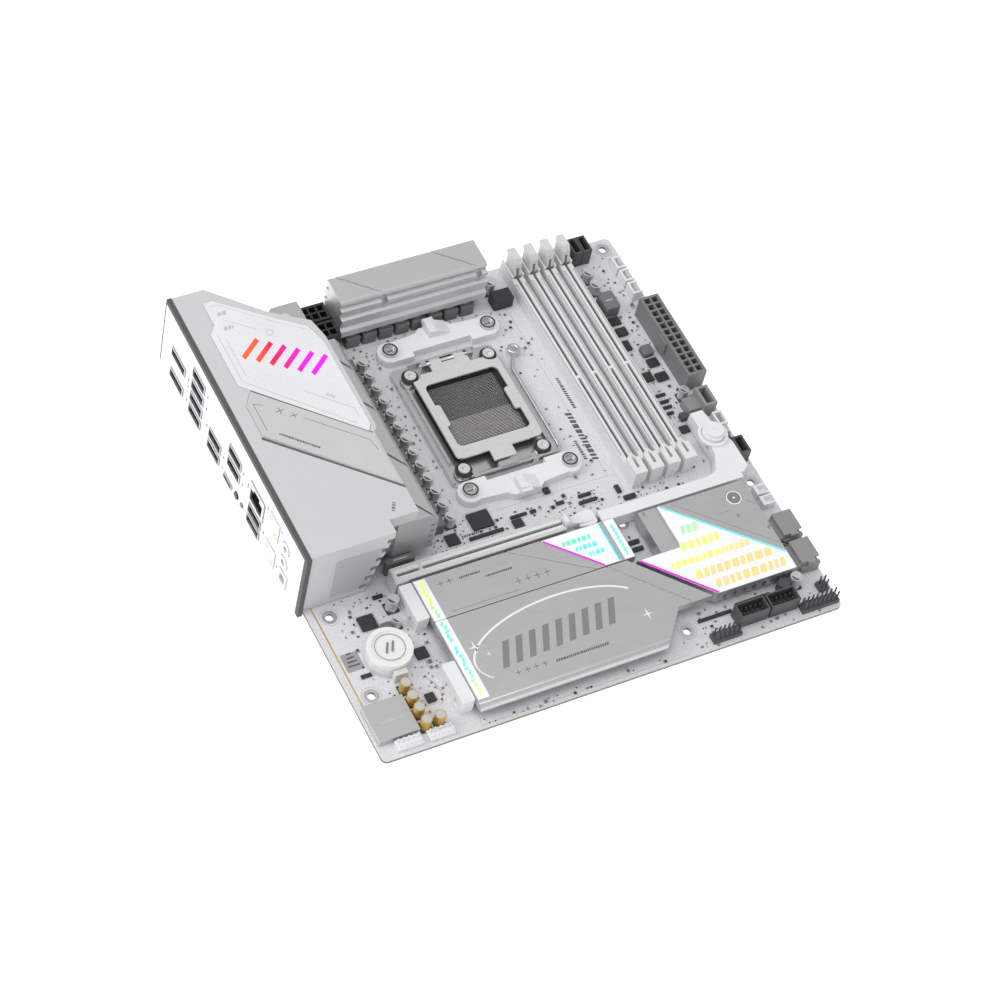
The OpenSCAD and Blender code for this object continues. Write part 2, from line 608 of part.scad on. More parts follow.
// Heatsink of the chipset and its inlays.
chipset_outline = [[156.6, 52.6], [169.9, 52.6], [169.9, 77.2], [228.2, 77.2], [228.2, 22.4], [184.2, 22.4]];
module chipset_heatsink() {
  color("#c2c2c4") seat() difference() {
    prism(chipset_outline, 3.0, plate_top);
    prism(light_outline(0.15), plate_top - 0.9, 12);
    block(179.2, 179.7, 53.4, 79, plate_top - 0.5, 12);
    rod([219, 69, plate_top - 1.2], 4.2, 3);
    for (k = [0:6]) block(188 + 5.4 * k, 190.4 + 5.4 * k, 21, 25.2, 2.5, 6.8);
  }
}
function light_outline(g) = [[157.6 - g, 52.3 + g], [180.6, 52.3 + g], [180.6 - g, 77.0 + g],
  [182.0, 77.0 + g], [228.0 + g, 32.8], [228.0 + g, 22.6 - g], [185.2 - g, 22.6 - g]];
module chipset_light_panel() {
  color("#f6f6f8") seat() {
    prism(light_outline(0), plate_top - 0.9, plate_top + 0.1);
    rod([219, 69, plate_top - 1.2], 3.9, 1.4);
  }
}
module chipset_chip() {
  color("#2a3a2c") seat() {
    block(192, 222, 34, 64, 0, 1.2);
    block(200, 214, 42, 56, 1.2, 1.8);
  }
}

// A block of square power cells, open at the top.
module power_cells(x0, y0, nx, ny, h) {
  pitch = 4.2;
  edge = 1.0;
  difference() {
    block(x0, x0 + nx * pitch + 2 * edge, y0, y0 + ny * pitch + 2 * edge, 0, h);
    for (i = [0:nx - 1], j = [0:ny - 1])
      block(x0 + edge + i * pitch + 0.45, x0 + edge + (i + 1) * pitch - 0.45,
        y0 + edge + j * pitch + 0.45, y0 + edge + (j + 1) * pitch - 0.45, 3.0, h + 1);
  }
  for (i = [0:nx - 1], j = [0:ny - 1])
    block(x0 + edge + (i + 0.5) * pitch - 0.5, x0 + edge + (i + 0.5) * pitch + 0.5,
      y0 + edge + (j + 0.5) * pitch - 0.5, y0 + edge + (j + 0.5) * pitch + 0.5, 2.9, h - 2.4);
}
module main_power_connector() {
  color("#57575a") seat() {
    power_cells(232.8, 141.0, 2, 12, 13);
    block(231.6, 232.9, 163, 171, 4, 12);
    legs([[235.9, 144.1], [240.1, 144.1], [235.9, 190.3], [240.1, 190.3]], 0.7);
  }
}
module cpu_power_connectors() {
  color("#1f1f21") seat() {
    power_cells(61.6, 233.0, 4, 2, 13);
    power_cells(61.6, 221.6, 4, 2, 13);
  }
}
// Storage ports: two stacked pairs that open towards the board's side.
module storage_ports() {
  color("#959598") seat() for (y = [40.4, 23.2]) difference() {
    union() {
      block(232.6, 243.0, y, y + 14.4, 0, 8.6);
      block(229.9, 232.7, y + 1, y + 13.4, 0, 6.4);
    }
    for (z = [1.4, 5.2]) {
      block(236.5, 244, y + 1.8, y + 12.6, z, z + 1.7);
      block(236.5, 244, y + 1.8, y + 3.2, z, z + 2.6);
    }
    block(232, 236, y - 1, y + 1.2, 5, 10);
    block(240.2, 244, y - 1, y + 2.4, 6.4, 10);
  }
}

// A header: a row of pins on a low bar, or in an open shroud.
module pin_row(x, y, nx, ny, h) {
  block(x, x + 2.54 * nx, y, y + 2.54 * ny, 0, 2.4);
  for (i = [0:nx - 1], j = [0:ny - 1])
    block(x + 2.54 * i + 0.95, x + 2.54 * i + 1.59, y + 2.54 * j + 0.95, y + 2.54 * j + 1.59, 2.3, h);
}
module shrouded_row(x, y, nx, ny, h) {
  difference() {
    block(x, x + 2.54 * nx + 3, y, y + 2.54 * ny + 3, 0, h);
    block(x + 0.8, x + 2.54 * nx + 2.2, y + 0.8, y + 2.54 * ny + 2.2, 1.6, h + 1);
  }
  for (i = [0:nx - 1], j = [0:ny - 1])
    block(x + 2.54 * i + 2.45, x + 2.54 * i + 3.09, y + 2.54 * j + 2.45, y + 2.54 * j + 3.09, 1.5, h - 1.4);
}
module black_headers() {
  color("#2c2c2e") seat() {
    pin_row(173.6, 2.6, 6, 2, 8);
    shrouded_row(189.2, 6.6, 5, 2, 8.8);
    shrouded_row(206.0, 6.6, 5, 2, 8.8);
    pin_row(222.6, 2.6, 8, 2, 8);
    pin_row(236.6, 10.6, 2, 2, 8);
    for (y = [[92.0, 102.4]]) difference() {
      block(236.6, 242.4, y[0], y[1], 0, 9);
      block(237.6, 241.4, y[0] + 1, y[1] - 1, 2, 10);
    }
    for (x = [216.2, 221.4]) difference() {
      block(x, x + 4.9, 231.6, 241.8, 0, 10.8);
      block(x + 0.9, x + 4.0, 232.5, 240.9, 4, 12);
    }
    block(235.6, 239.0, 104.4, 110.6, 0, 5);
    block(222.4, 225.6, 124.4, 128, 0, 3.4);
    rod([219.9, 18.9, 0], 3.0, 6);
    legs([[11.1, 5.1], [30, 5.1], [181, 5.1], [239, 5.1], [219, 236]], 0.6);
    rod([241.2, 196.6, 0], 1.6, 5);
  }
}
module white_headers() {
  color("#e4e4e6") seat() {
    for (y = [201.6, 210.4, 219.2]) difference() {
      block(235.4, 240.8, y, y + 7.6, 0, 6.4);
      block(236.4, 241.8, y + 1, y + 6.6, 1.6, 7);
    }
    difference() {
      block(236.2, 241.4, 112.6, 120.8, 0, 6.8);
      block(237.2, 240.4, 113.6, 119.8, 1.6, 8);
    }
    for (y = [63, 69.6]) difference() {
      block(234.4, 241.2, y, y + 5.4, 0, 4.6);
      block(236.2, 242, y + 0.8, y + 4.6, 1.2, 5);
    }
    pin_row(8.6, 2.6, 5, 2, 5);
    pin_row(24.5, 2.4, 5, 2, 5);
  }
}
module front_usb_socket() {
  color("#8d8d90") seat() difference() {
    union() {
      block(233.4, 240.4, 123.4, 135.2, 0, 10);
      block(226.6, 233.5, 126.0, 134.0, 0, 5.6);
    }
    block(234.9, 238.9, 124.6, 134.0, 3.2, 11);
  }
}

// Battery on the board, under a white cap.
module battery_holder() {
  color("#c4c4c6") seat() {
    difference() {
      rod([26, 50.6, 0], 11.4, 3.2);
      rod([26, 50.6, 0.8], 10.2, 3);
    }
    block(22.8, 29.2, 36.6, 39.5, 0, 6.2);
  }
}
module battery() { color("#bfc1c4") seat() rod([26, 50.6, 0.8], 10.0, 3.2); }
module battery_cap() {
  color("#f0f0ee") seat() difference() {
    rod([26, 50.6, 3.2], 10.9, 5.5);
    rod([26, 50.6, 3.1], 10.15, 1.1);
    rod([26, 50.6, 8.2], 8.6, 2);
  }
}
// Folded shield over the audio codec.
module audio_shield() {
  color("#b6b6b8") seat() difference() {
    block(1.6, 22.2, 8.6, 28.6, 0, 3.6);
    block(2.2, 21.6, 9.2, 28.0, -1, 3.1);
  }
}
module audio_capacitors() {
  color("#c8a23c") seat() for (p = [[25.2, 31.6], [25.3, 24.4], [25.4, 17.6], [25.6, 10.4], [32.6, 10.4]])
    can(p[0], p[1], 2.75, 7.4);
}

// Chips: [x, y, width along x, length along y, height].
chip_spots = [[25.2, 70.8, 8, 7.8, 1.1], [41.4, 46.9, 6, 6, 1], [34.9, 23.6, 4.4, 4.8, 1],
  [83.2, 99.4, 6.4, 6.2, 1], [100.8, 105.2, 11, 9.6, 1.2], [117.3, 97.0, 5, 5.2, 1],
  [220.6, 192.6, 5.6, 5, 1.2], [220.8, 185.2, 5.6, 5, 1.2], [218.6, 176.4, 4.6, 6, 1.2],
  [226.6, 162.4, 5.6, 5, 1.2], [219.2, 155.0, 6, 5.6, 1.2], [226.6, 153.0, 6, 5, 1.2],
  [221.6, 119.8, 4.4, 4.2, 1], [176.0, 92.6, 6.2, 2.4, 1.4], [172.6, 98.8, 2.2, 4.6, 1.2],
  [12.6, 15, 7, 7, 0.9], [100, 96.6, 18, 1.5, 1.4], [155.4, 97.4, 9.6, 1.5, 1.4],
  [155.4, 101.1, 6.6, 1.5, 1.4], [119.4, 101.1, 8.6, 1.3, 1.4], [181.4, 16.4, 18, 1.3, 1.6],
  [203.2, 18.4, 19, 1.3, 1.6], [220, 142.6, 5.6, 1.5, 1.2], [219.8, 138.4, 5.6, 1.5, 1.2],
  [219.6, 134.8, 5.6, 1.5, 1.2], [219.4, 131.0, 4, 1.5, 1.2], [12.4, 44.6, 5.2, 1.8, 1],
  [165.0, 67.8, 5.4, 2, 1.6], [165.0, 63.6, 5.4, 2, 1.6], [127.2, 101.0, 3, 1.6, 1.2],
  [142.0, 101.0, 4, 1.6, 1.2], [35.8, 82.2, 5, 1.8, 1.2], [139.0, 109.8, 3, 3.4, 1.2]];
module chips() {
  color("#2a2a2c") seat() {
    for (c = chip_spots) block(c[0] - c[2] / 2, c[0] + c[2] / 2, c[1] - c[3] / 2, c[1] + c[3] / 2, 0, c[4]);
    block(165.4, 175.6, 219.0, 226.2, 0, 7);
  }
}

// Solder legs below the board; they end on the resting plane.
module legs(points, r) {
  for (p = points) rod([p[0], p[1], -board_thick - under_depth], r, under_depth);
}
// A metal port shell round a dark tongue; it opens to the rear.
module port_shell(b, depth, wall, z_in) {
  difference() {
    block(-panel_reach - shell_out, depth, b[0], b[1], b[2], b[3]);
    block(-8, depth - 1.2, b[0] + wall, b[1] - wall, b[2] + wall, b[3] - wall);
  }
  if (z_in > 0) block(-panel_reach + 0.8, depth - 1, b[0] + 1.4, b[1] - 1.4, b[3] - wall - z_in, b[3] - wall - 0.6);
}
// Metal housing behind a group of stacked ports.
module port_body(x1, y0, y1, z1) { block(14.1, x1, y0, y1, 0, z1); }
module usb_port_stacks() {
  color("#8f9094") seat() {
    for (b = usb_ports) intersection() {
      port_shell(b, 14.2, 0.4, 2.4);
      block(-9, 15, 0, 260, b[2], b[3]);
    }
    port_shell(type_c_port, 8.4, 0.35, 0);
    block(-1.9, 7.3, type_c_port[0] + 1.2, type_c_port[1] - 1.2, 1.35, 2.05);
    port_body(18, 199.4, 212.8, 32.6);
    port_body(18, 176.9, 190.3, 14.2);
    port_body(18, 155.9, 169.3, 27.3);
    legs([[5, 200.2], [5, 212], [5, 177.7], [5, 189.5], [5, 156.7], [15, 168.5]], 0.7);
    block(8.4, 14.1, 155.9, 171.0, 0, 10);
    block(1.6, 8.5, 155.9, 169.3, 5.6, 12.4);
  }
}
module display_and_lan_ports() {
  color("#77787b") seat() {
    for (b = display_ports) {
      port_shell(b, 12, 0.5, 0);
      block(-1.4, 11, b[0] + 2.6, b[1] - 2.6, (b[2] + b[3]) / 2 - 0.7, (b[2] + b[3]) / 2 + 0.7);
    }
    block(12, 20, 220.4, 236.0, 0, 21.2);
    legs([[5, 221.4], [5, 235], [18, 228], [17, 131], [17, 144.2]], 0.7);
    difference() {
      block(-panel_reach - shell_out, 22, lan_port[0], lan_port[1], lan_port[2], lan_port[3]);
      block(-8, 13, 131.4, 143.8, 17.4, 25.0);
      block(-8, 13, 134.6, 140.6, 24.9, 27.2);
    }
    block(14.3, 22, lan_port[0], lan_port[1], 0, lan_port[2] + 0.01);
  }
}
module audio_and_antenna_ports() {
  color("#d9d9db") seat() {
    legs([[10, 101.5], [10, 107.5], [9, 114.6], [9, 123.4]], 0.7);
    for (p = jack_spots) difference() {
      union() {
        rod_x([-panel_reach - shell_out, p[0], p[1]], 3.6, 4.4);
        block(0.4, 14, p[0] - 5.4, p[0] + 5.4, p[1] - 5.0, p[1] + 5.0);
      }
      rod_x([-panel_reach - shell_out - 1, p[0], p[1]], jack_r, 15.6);
    }
    difference() {
      block(-panel_reach - shell_out, 12, optical_spot[0], optical_spot[1], optical_spot[2], optical_spot[3]);
      block(-5, 6, 102.0, 107.0, 2.4, 7.4);
    }
    for (b = antenna_spots) difference() {
      block(-panel_reach - shell_out, 13, b[0], b[1], b[2], b[3]);
      for (p = [[b[1] - 2.2, b[3] - 2.4], [b[0] + 2.2, b[2] + 2.4]]) difference() {
        rod_x([-5, p[0], p[1]], 1.7, 7);
        rod_x([-6, p[0], p[1]], 0.6, 9);
      }
    }
  }
}
// Two push buttons at the rear, each in a small switch body behind the panel.
module rear_button(p, r) {
  rod_x([-panel_reach - shell_out, p[0], p[1]], r, 3.4);
  rod_x([-1.2, p[0], p[1]], r + 0.5, 1.0);
}
module bios_button() { color("#2c2c2e") seat() rear_button(bios_spot, 1.9); }
module clear_button() { color("#8a8a8c") seat() rear_button(clear_spot, 1.25); }

pcb();
io_panel();
io_panel_frame();
io_cover();
cover_window();
cover_trim();
power_heatsink_side();
power_heatsink_top();
power_stages();
thermal_pads();
power_chokes();
power_capacitors();
socket_backplate();
socket_housing();
socket_contacts();
socket_frame();
socket_load_plate();
socket_lever();
socket_screws();
cooler_brackets();
cooler_screws();
memory_slots();
memory_latch_1();
memory_latch_2();
memory_latch_3();
memory_latch_4();
graphics_slot();
graphics_slot_shell();
graphics_latch();
release_cover();
release_button();
release_slider();
release_rod();
drive_heatsink_lower();
drive_heatsink_upper();
drive_light_strips();
drive_connectors();
drive_latch();
drive_standoffs();
end_blocks();
chipset_heatsink();
chipset_light_panel();
chipset_chip();
main_power_connector();
cpu_power_connectors();
storage_ports();
black_headers();
white_headers();
front_usb_socket();
battery_holder();
battery();
battery_cap();
audio_shield();
audio_capacitors();
chips();
usb_port_stacks();
display_and_lan_ports();
audio_and_antenna_ports();
bios_button();
clear_button();
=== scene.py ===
# %% [markdown]
# # A compact desktop motherboard, dressed for a studio picture
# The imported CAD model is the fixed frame: it has the board, its heatsinks, sockets, ports, latches and
# covers as separate nodes. This lesson gives each of them a finish and adds what is too small for CAD:
# surface-mounted parts, contacts, printed marks, solder joints and inlays. Every new piece is worked out
# in millimetres on the board and then moved into the model's own frame.

import math

import bpy
import numpy as np
from mathutils import Matrix, Vector
from mathutils.bvhtree import BVHTree


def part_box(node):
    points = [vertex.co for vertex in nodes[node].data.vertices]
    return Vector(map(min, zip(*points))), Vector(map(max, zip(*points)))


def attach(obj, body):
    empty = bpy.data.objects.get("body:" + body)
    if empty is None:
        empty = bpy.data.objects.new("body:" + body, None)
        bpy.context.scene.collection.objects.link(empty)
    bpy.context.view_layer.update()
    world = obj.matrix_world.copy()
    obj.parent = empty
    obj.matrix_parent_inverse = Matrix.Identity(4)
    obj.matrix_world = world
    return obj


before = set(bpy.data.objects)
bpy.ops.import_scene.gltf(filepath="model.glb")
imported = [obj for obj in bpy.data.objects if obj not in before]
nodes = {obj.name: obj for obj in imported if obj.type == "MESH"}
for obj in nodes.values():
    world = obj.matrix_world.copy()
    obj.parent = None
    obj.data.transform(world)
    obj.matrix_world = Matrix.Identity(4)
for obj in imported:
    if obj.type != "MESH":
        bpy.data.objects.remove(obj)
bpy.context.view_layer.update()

# %% [markdown]
# ## The board's own ruler
# Makers of boards measure from one corner: x from the rear edge, y from the expansion edge and z up from
# the top face. The corner comes from the CAD board's box, so the ruler follows the model.

# %% The ruler
MM = 0.001
board_low, board_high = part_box("pcb")
corner = np.array([board_low.x, board_low.y, board_high.z])
BOARD = (board_high.x - board_low.x) / MM
THICK = (board_high.z - board_low.z) / MM
scene = bpy.context.scene
draw = np.random.default_rng(24)


def to_model(points):
    """Board millimetres to model metres: the corner's place plus the point times a thousandth."""
    return corner + np.asarray(points, float) * MM


def to_board(points):
    """Model metres to board millimetres, the other way round."""
    return (np.asarray(points, float) - corner) / MM


print(f"board {BOARD:.2f} mm square, {THICK:.1f} mm thick")

# %% [markdown]
# ## Reading sizes back from the frame
# A node may hold many separate solids, such as all the round capacitors. Their boxes are found by giving
# every vertex a label and letting each triangle pass on its lowest label until nothing changes. The small
# parts are then placed with rays: a spot is free when a ray from above meets the board first.

# %% Islands and rays
def triangles_of(name):
    """A node's vertices in board millimetres and its triangles as rows of three numbers."""
    mesh = nodes[name].data
    points = np.zeros(len(mesh.vertices) * 3)
    mesh.vertices.foreach_get("co", points)
    mesh.calc_loop_triangles()
    faces = np.zeros(len(mesh.loop_triangles) * 3, int)
    mesh.loop_triangles.foreach_get("vertices", faces)
    return to_board(points.reshape(-1, 3)), faces.reshape(-1, 3)


def islands(name):
    """Boxes of a node's separate solids, one row each: low x, y, z and high x, y, z."""
    points, faces = triangles_of(name)
    _, same = np.unique(np.round(points, 3), axis=0, return_inverse=True)
    same = same.ravel()
    faces = same[faces]
    label = np.arange(same.max() + 1)
    while True:
        lowest = label[faces].min(axis=1)
        fresh = label.copy()
        for column in range(3):
            np.minimum.at(fresh, faces[:, column], lowest)
        fresh = fresh[fresh]
        if np.array_equal(fresh, label):
            break
        label = fresh
    owner = label[same]
    boxes = [
        np.concatenate([points[owner == k].min(0), points[owner == k].max(0)])
        for k in np.unique(owner)
    ]
    return np.array(sorted(boxes, key=lambda b: (round(b[0], 1), round(b[1], 1))))


def all_triangles():
    """Every CAD node's triangles in one pair of arrays, for ray tests."""
    points, faces, count = [], [], 0
    for name in nodes:
        p, f = triangles_of(name)
        points.append(p)
        faces.append(f + count)
        count += len(p)
    return np.concatenate(points), np.concatenate(faces)


solid_points, solid_faces = all_triangles()
solids = BVHTree.FromPolygons(solid_points.tolist(), solid_faces.tolist())


def is_free(x, y, reach, up=1.0, surface=0.0):
    """True if rays towards the board at the spot and round it all meet the board first."""
    for dx, dy in ((0, 0), (reach, reach), (reach, -reach), (-reach, reach), (-reach, -reach)):
        hit = solids.ray_cast(Vector((x + dx, y + dy, 80 * up)), Vector((0, 0, -up)))[0]
        if hit is None or abs(hit.z - surface) > 0.02:
            return False
    return True


print(len(solid_faces), "CAD triangles in the ray tree")

# %% [markdown]
# ## Putting arrays into meshes
# Each new piece is one mesh made from whole arrays. Most small shapes here are the same block or drum
# many times, so one helper lays copies of a small pattern at many places at once.

# %% Mesh helpers
def make_piece(name, points, faces, materials, body="board", slot=None, which=None):
    """Board millimetres and index rows become a named object that rides on a CAD body."""
    mesh = bpy.data.meshes.new(name)
    mesh.from_pydata(to_model(points).tolist(), [], [list(f) for f in faces])
    for material in materials:
        mesh.materials.append(material)
    if which is not None:
        mesh.polygons.foreach_set("material_index", np.asarray(which, np.int32))
    mesh.update()
    piece = bpy.data.objects.new(name, mesh)
    scene.collection.objects.link(piece)
    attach(piece, body)
    return piece


def copies(pattern_points, pattern_faces, places, scales=None, turns=None):
    """The pattern once at each place: point = place + turned(pattern times scale)."""
    places = np.asarray(places, float)
    count, size = len(places), len(pattern_points)
    points = np.repeat(np.asarray(pattern_points, float)[None], count, axis=0)
    if scales is not None:
        points = points * np.asarray(scales, float)[:, None, :]
    if turns is not None:
        c, s = np.cos(turns)[:, None], np.sin(turns)[:, None]
        x, y = points[..., 0].copy(), points[..., 1].copy()
        points[..., 0], points[..., 1] = c * x - s * y, s * x + c * y
    points = points + places[:, None, :]
    faces = [[i + k * size for i in f] for k in range(count) for f in pattern_faces]
    return points.reshape(-1, 3), faces


def brick(chamfer=0.12):
    """A unit block, base at z = 0, whose top edge is cut back by a share of its width."""
    a, b = 0.5, 0.5 - chamfer
    ring = np.array([[-1, -1], [1, -1], [1, 1], [-1, 1]], float)
    points = np.concatenate([
        np.column_stack([ring * a, np.zeros(4)]),
        np.column_stack([ring * a, np.full(4, 1 - chamfer)]),
        np.column_stack([ring * b, np.ones(4)])])
    faces = [[3, 2, 1, 0], [8, 9, 10, 11]]
    for k in range(4):
        n = (k + 1) % 4
        faces += [[k, n, n + 4, k + 4], [k + 4, n + 4, n + 8, k + 8]]
    return points, faces


def turned(profile, sides=24):
    """A closed drum: the profile's (radius, height) rows carried round the z axis, ends capped."""
    profile = np.asarray(profile, float)
    angle = np.arange(sides) * 2 * np.pi / sides
    rings = [np.column_stack([r * np.cos(angle), r * np.sin(angle), np.full(sides, h)]) for r, h in profile]
    points = np.concatenate(rings)
    faces = [list(range(sides))[::-1]]
    for level in range(len(profile) - 1):
        for k in range(sides):
            n = (k + 1) % sides
            low, high = level * sides, (level + 1) * sides
            faces.append([low + k, low + n, high + n, high + k])
    top = (len(profile) - 1) * sides
    faces.append([top + k for k in range(sides)])
    return points, faces


def tube_ring(inner, outer, low, high, sides=32):
    """A closed flat ring: a rectangle of that width and height carried round the z axis."""
    angle = np.arange(sides) * 2 * np.pi / sides
    c, s = np.cos(angle), np.sin(angle)
    corners = [(inner, low), (outer, low), (outer, high), (inner, high)]
    points = np.concatenate([np.column_stack([r * c, r * s, np.full(sides, h)]) for r, h in corners])
    faces = []
    for q in range(4):
        w = (q + 1) % 4
        for k in range(sides):
            n = (k + 1) % sides
            faces.append([q * sides + k, q * sides + n, w * sides + n, w * sides + k])
    return points, faces


def stack(parts):
    """Several (points, faces) pairs as one pair."""
    points, faces, count = [], [], 0
    for p, f in parts:
        points.append(np.asarray(p, float))
        faces += [[i + count for i in row] for row in f]
        count += len(p)
    return np.concatenate(points), faces


def bars(rows, low, high):
    """Flat bars: each row is x, y, length, width, turn in degrees and lean, lying between two heights.
    A point is the centre plus the turned corner, and the lean shifts each end like an italic stroke."""
    rows = np.asarray(rows, float)
    sign = np.array([[-1, -1], [1, -1], [1, 1], [-1, 1]], float) / 2
    u = sign[None, :, 0] * rows[:, None, 2] + sign[None, :, 1] * rows[:, None, 3] * rows[:, None, 5]
    v = sign[None, :, 1] * rows[:, None, 3]
    a = np.radians(rows[:, 4])[:, None]
    x = rows[:, None, 0] + u * np.cos(a) - v * np.sin(a)
    y = rows[:, None, 1] + u * np.sin(a) + v * np.cos(a)
    flat = np.stack([x, y], axis=-1)
    points = np.concatenate([
        np.concatenate([flat, np.full(flat.shape[:2] + (1,), h)], axis=-1) for h in (low, high)], axis=1)
    block = [[3, 2, 1, 0], [4, 5, 6, 7], [0, 1, 5, 4], [1, 2, 6, 5], [2, 3, 7, 6], [3, 0, 4, 7]]
    faces = [[i + 8 * k for i in f] for k in range(len(rows)) for f in block]
    return points.reshape(-1, 3), faces


def ribbon(path, width, low, high, closed=False):
    """A flat band of one width along a path of (x, y) points, mitred where the path turns."""
    path = np.asarray(path, float)
    ahead = np.roll(path, -1, 0) - path
    behind = path - np.roll(path, 1, 0)
    if not closed:
        ahead[-1], behind[0] = behind[-1], ahead[0]
    ahead /= np.linalg.norm(ahead, axis=1)[:, None]
    behind /= np.linalg.norm(behind, axis=1)[:, None]
    middle = ahead + behind
    middle /= np.linalg.norm(middle, axis=1)[:, None]
    normal = np.column_stack([-middle[:, 1], middle[:, 0]])
    stretch = 1 / np.clip((middle * ahead).sum(1), 0.4, 1)
    side = normal * (stretch * width / 2)[:, None]
    n = len(path)
    sheets = [(path - side, low), (path + side, low), (path + side, high), (path - side, high)]
    points = np.concatenate([np.column_stack([p, np.full(n, h)]) for p, h in sheets])
    faces = []
    for k in range(n if closed else n - 1):
        m = (k + 1) % n
        for q in range(4):
            w = (q + 1) % 4
            faces.append([q * n + m, q * n + k, w * n + k, w * n + m])
    if not closed:
        faces += [[0, n, 2 * n, 3 * n], [4 * n - 1, 3 * n - 1, 2 * n - 1, n - 1]]
    return points, faces


def swing(centre, radius_x, radius_y, start, end, count=24, tilt=0.0):
    """Points along an ellipse: centre plus (rx cos t, ry sin t), turned by tilt; all angles in degrees."""
    t, k = np.radians(np.linspace(start, end, count)), math.radians(tilt)
    x, y = radius_x * np.cos(t), radius_y * np.sin(t)
    return np.column_stack([centre[0] + x * math.cos(k) - y * math.sin(k),
                            centre[1] + x * math.sin(k) + y * math.cos(k)])


def slab(outline, low, high):
    """A flat plate with the outline's (x, y) points, given anticlockwise."""
    outline = np.asarray(outline, float)
    n = len(outline)
    points = np.concatenate([np.column_stack([outline, np.full(n, h)]) for h in (low, high)])
    faces = [list(range(n))[::-1], [n + k for k in range(n)]]
    faces += [[k, (k + 1) % n, n + (k + 1) % n, n + k] for k in range(n)]
    return points, faces


print("mesh helpers ready")

# %% [markdown]
# ## Camera
# The camera stands above the rear corner and has a long lens, so the board's edges stay
# almost parallel. The place and the aim are in metres in the model's frame.

# %% Camera
camera_data = bpy.data.cameras.new("studio_camera")
camera_data.sensor_width = 36.0
camera_data.lens = 111.56
camera_data.clip_start, camera_data.clip_end = 0.05, 20.0
camera = bpy.data.objects.new("studio_camera", camera_data)
scene.collection.objects.link(camera)
aim = np.array([[0.88237702, 0.27474088, -0.38200556],
                [-0.44290791, 0.75906707, -0.47712657],
                [0.15888167, 0.5901988, 0.79146825]])
seat = np.array([-0.56969, -0.71688, 1.17475])
camera.matrix_world = Matrix([[*aim[0], seat[0]], [*aim[1], seat[1]], [*aim[2], seat[2]], [0, 0, 0, 1]])
scene.camera = camera
print("camera", round(float(np.linalg.norm(seat)), 2), "m away")

# %% [markdown]
# ## A pale floor and soft light
# White goods on white need shape from light alone. A bright dome gives the even base, a large soft
# panel from the rear-port side draws the bright edges, and the expansion side stays a little darker so
# that steps, fins and slots read. The floor gives some light of its own, as a lit table does.

# %% Floor and lights
world = bpy.data.worlds.new("studio")
scene.world = world
world.use_nodes = True
world.node_tree.nodes["Background"].inputs["Color"].default_value = (1.0, 1.0, 1.0, 1.0)
world.node_tree.nodes["Background"].inputs["Strength"].default_value = 0.62
scene.view_settings.view_transform = "Standard"


def soft_panel(name, place, target, size, power):
    """A square area light at a place in metres, turned to face its target."""
    data = bpy.data.lights.new(name, "AREA")
    data.shape, data.size, data.energy = "SQUARE", size, power
    light = bpy.data.objects.new(name, data)
    light.location = place
    light.rotation_euler = (Vector(target) - Vector(place)).to_track_quat("-Z", "Y").to_euler()
    scene.collection.objects.link(light)
    return light


soft_panel("rear_panel_light", (-1.5, 0.45, 1.1), (0, 0, 0), 1.0, 12.5)
soft_panel("top_light", (-0.35, -0.1, 2.1), (0, 0, 0), 1.2, 12.0)
soft_panel("front_fill", (-0.4, -1.8, 0.7), (0, 0, 0), 1.4, 3.0)

floor_mesh = bpy.data.meshes.new("floor")
FLOOR_HALF = 6
FLOOR_DROP = 0.0002
floor_corners = [(across * FLOOR_HALF, along * FLOOR_HALF, -FLOOR_DROP)
                 for across, along in ((-1, -1), (1, -1), (1, 1), (-1, 1))]
floor_mesh.from_pydata(floor_corners, [], [(0, 1, 2, 3)])
floor = bpy.data.objects.new("floor", floor_mesh)
scene.collection.objects.link(floor)
floor_material = bpy.data.materials.new("pale_floor")
floor_material.use_nodes = True
floor_shader = floor_material.node_tree.nodes["Principled BSDF"]
floor_shader.inputs["Base Color"].default_value = (0.9, 0.9, 0.9, 1)
floor_shader.inputs["Roughness"].default_value = 0.9
floor_shader.inputs["Specular IOR Level"].default_value = 0.1
floor_shader.inputs["Emission Color"].default_value = (1, 1, 1, 1)
floor_shader.inputs["Emission Strength"].default_value = 0.5
floor_mesh.materials.append(floor_material)

# %% [markdown]
# ## Finishes
# Every finish starts from one helper that reads the piece's own place (Object coordinates), makes a
# coarse cloud for slow colour change and a fine grain for bump and roughness, and feeds one shader.
# Moulded plastic, blasted aluminium and stamped steel differ only in how large and how strong these are.

# %% The finish helper
def link(tree, source, target):
    """Joins an output socket to an input socket."""
    tree.links.new(source, target)


def add_node(tree, kind, **values):
    """A new node; names with capitals are its input sockets, the others its own settings."""
    node = tree.nodes.new("ShaderNode" + kind)
    for key, value in values.items():
        if key[0].isupper():
            node.inputs[key.replace("_", " ")].default_value = value
        else:
            setattr(node, key, value)
    return node


def pair(tree, operation, a, b=None, third=None):
    """One Math node; each input is a socket or a plain number."""
    node = add_node(tree, "Math", operation=operation)
    for k, value in enumerate((a, b, third)):
        if value is None:
            continue
        if isinstance(value, (int, float)):
            node.inputs[k].default_value = value
        else:
            link(tree, value, node.inputs[k])
    return node.outputs[0]


def blend_colour(tree, share, first, second):
    """Mixes two colours by a share between 0 and 1; each colour is a socket or three numbers."""
    node = add_node(tree, "Mix", data_type="RGBA")
    link(tree, share, node.inputs[0])
    for k, value in ((6, first), (7, second)):
        if isinstance(value, (tuple, list)):
            node.inputs[k].default_value = (*value, 1.0)
        else:
            link(tree, value, node.inputs[k])
    return node.outputs[2]


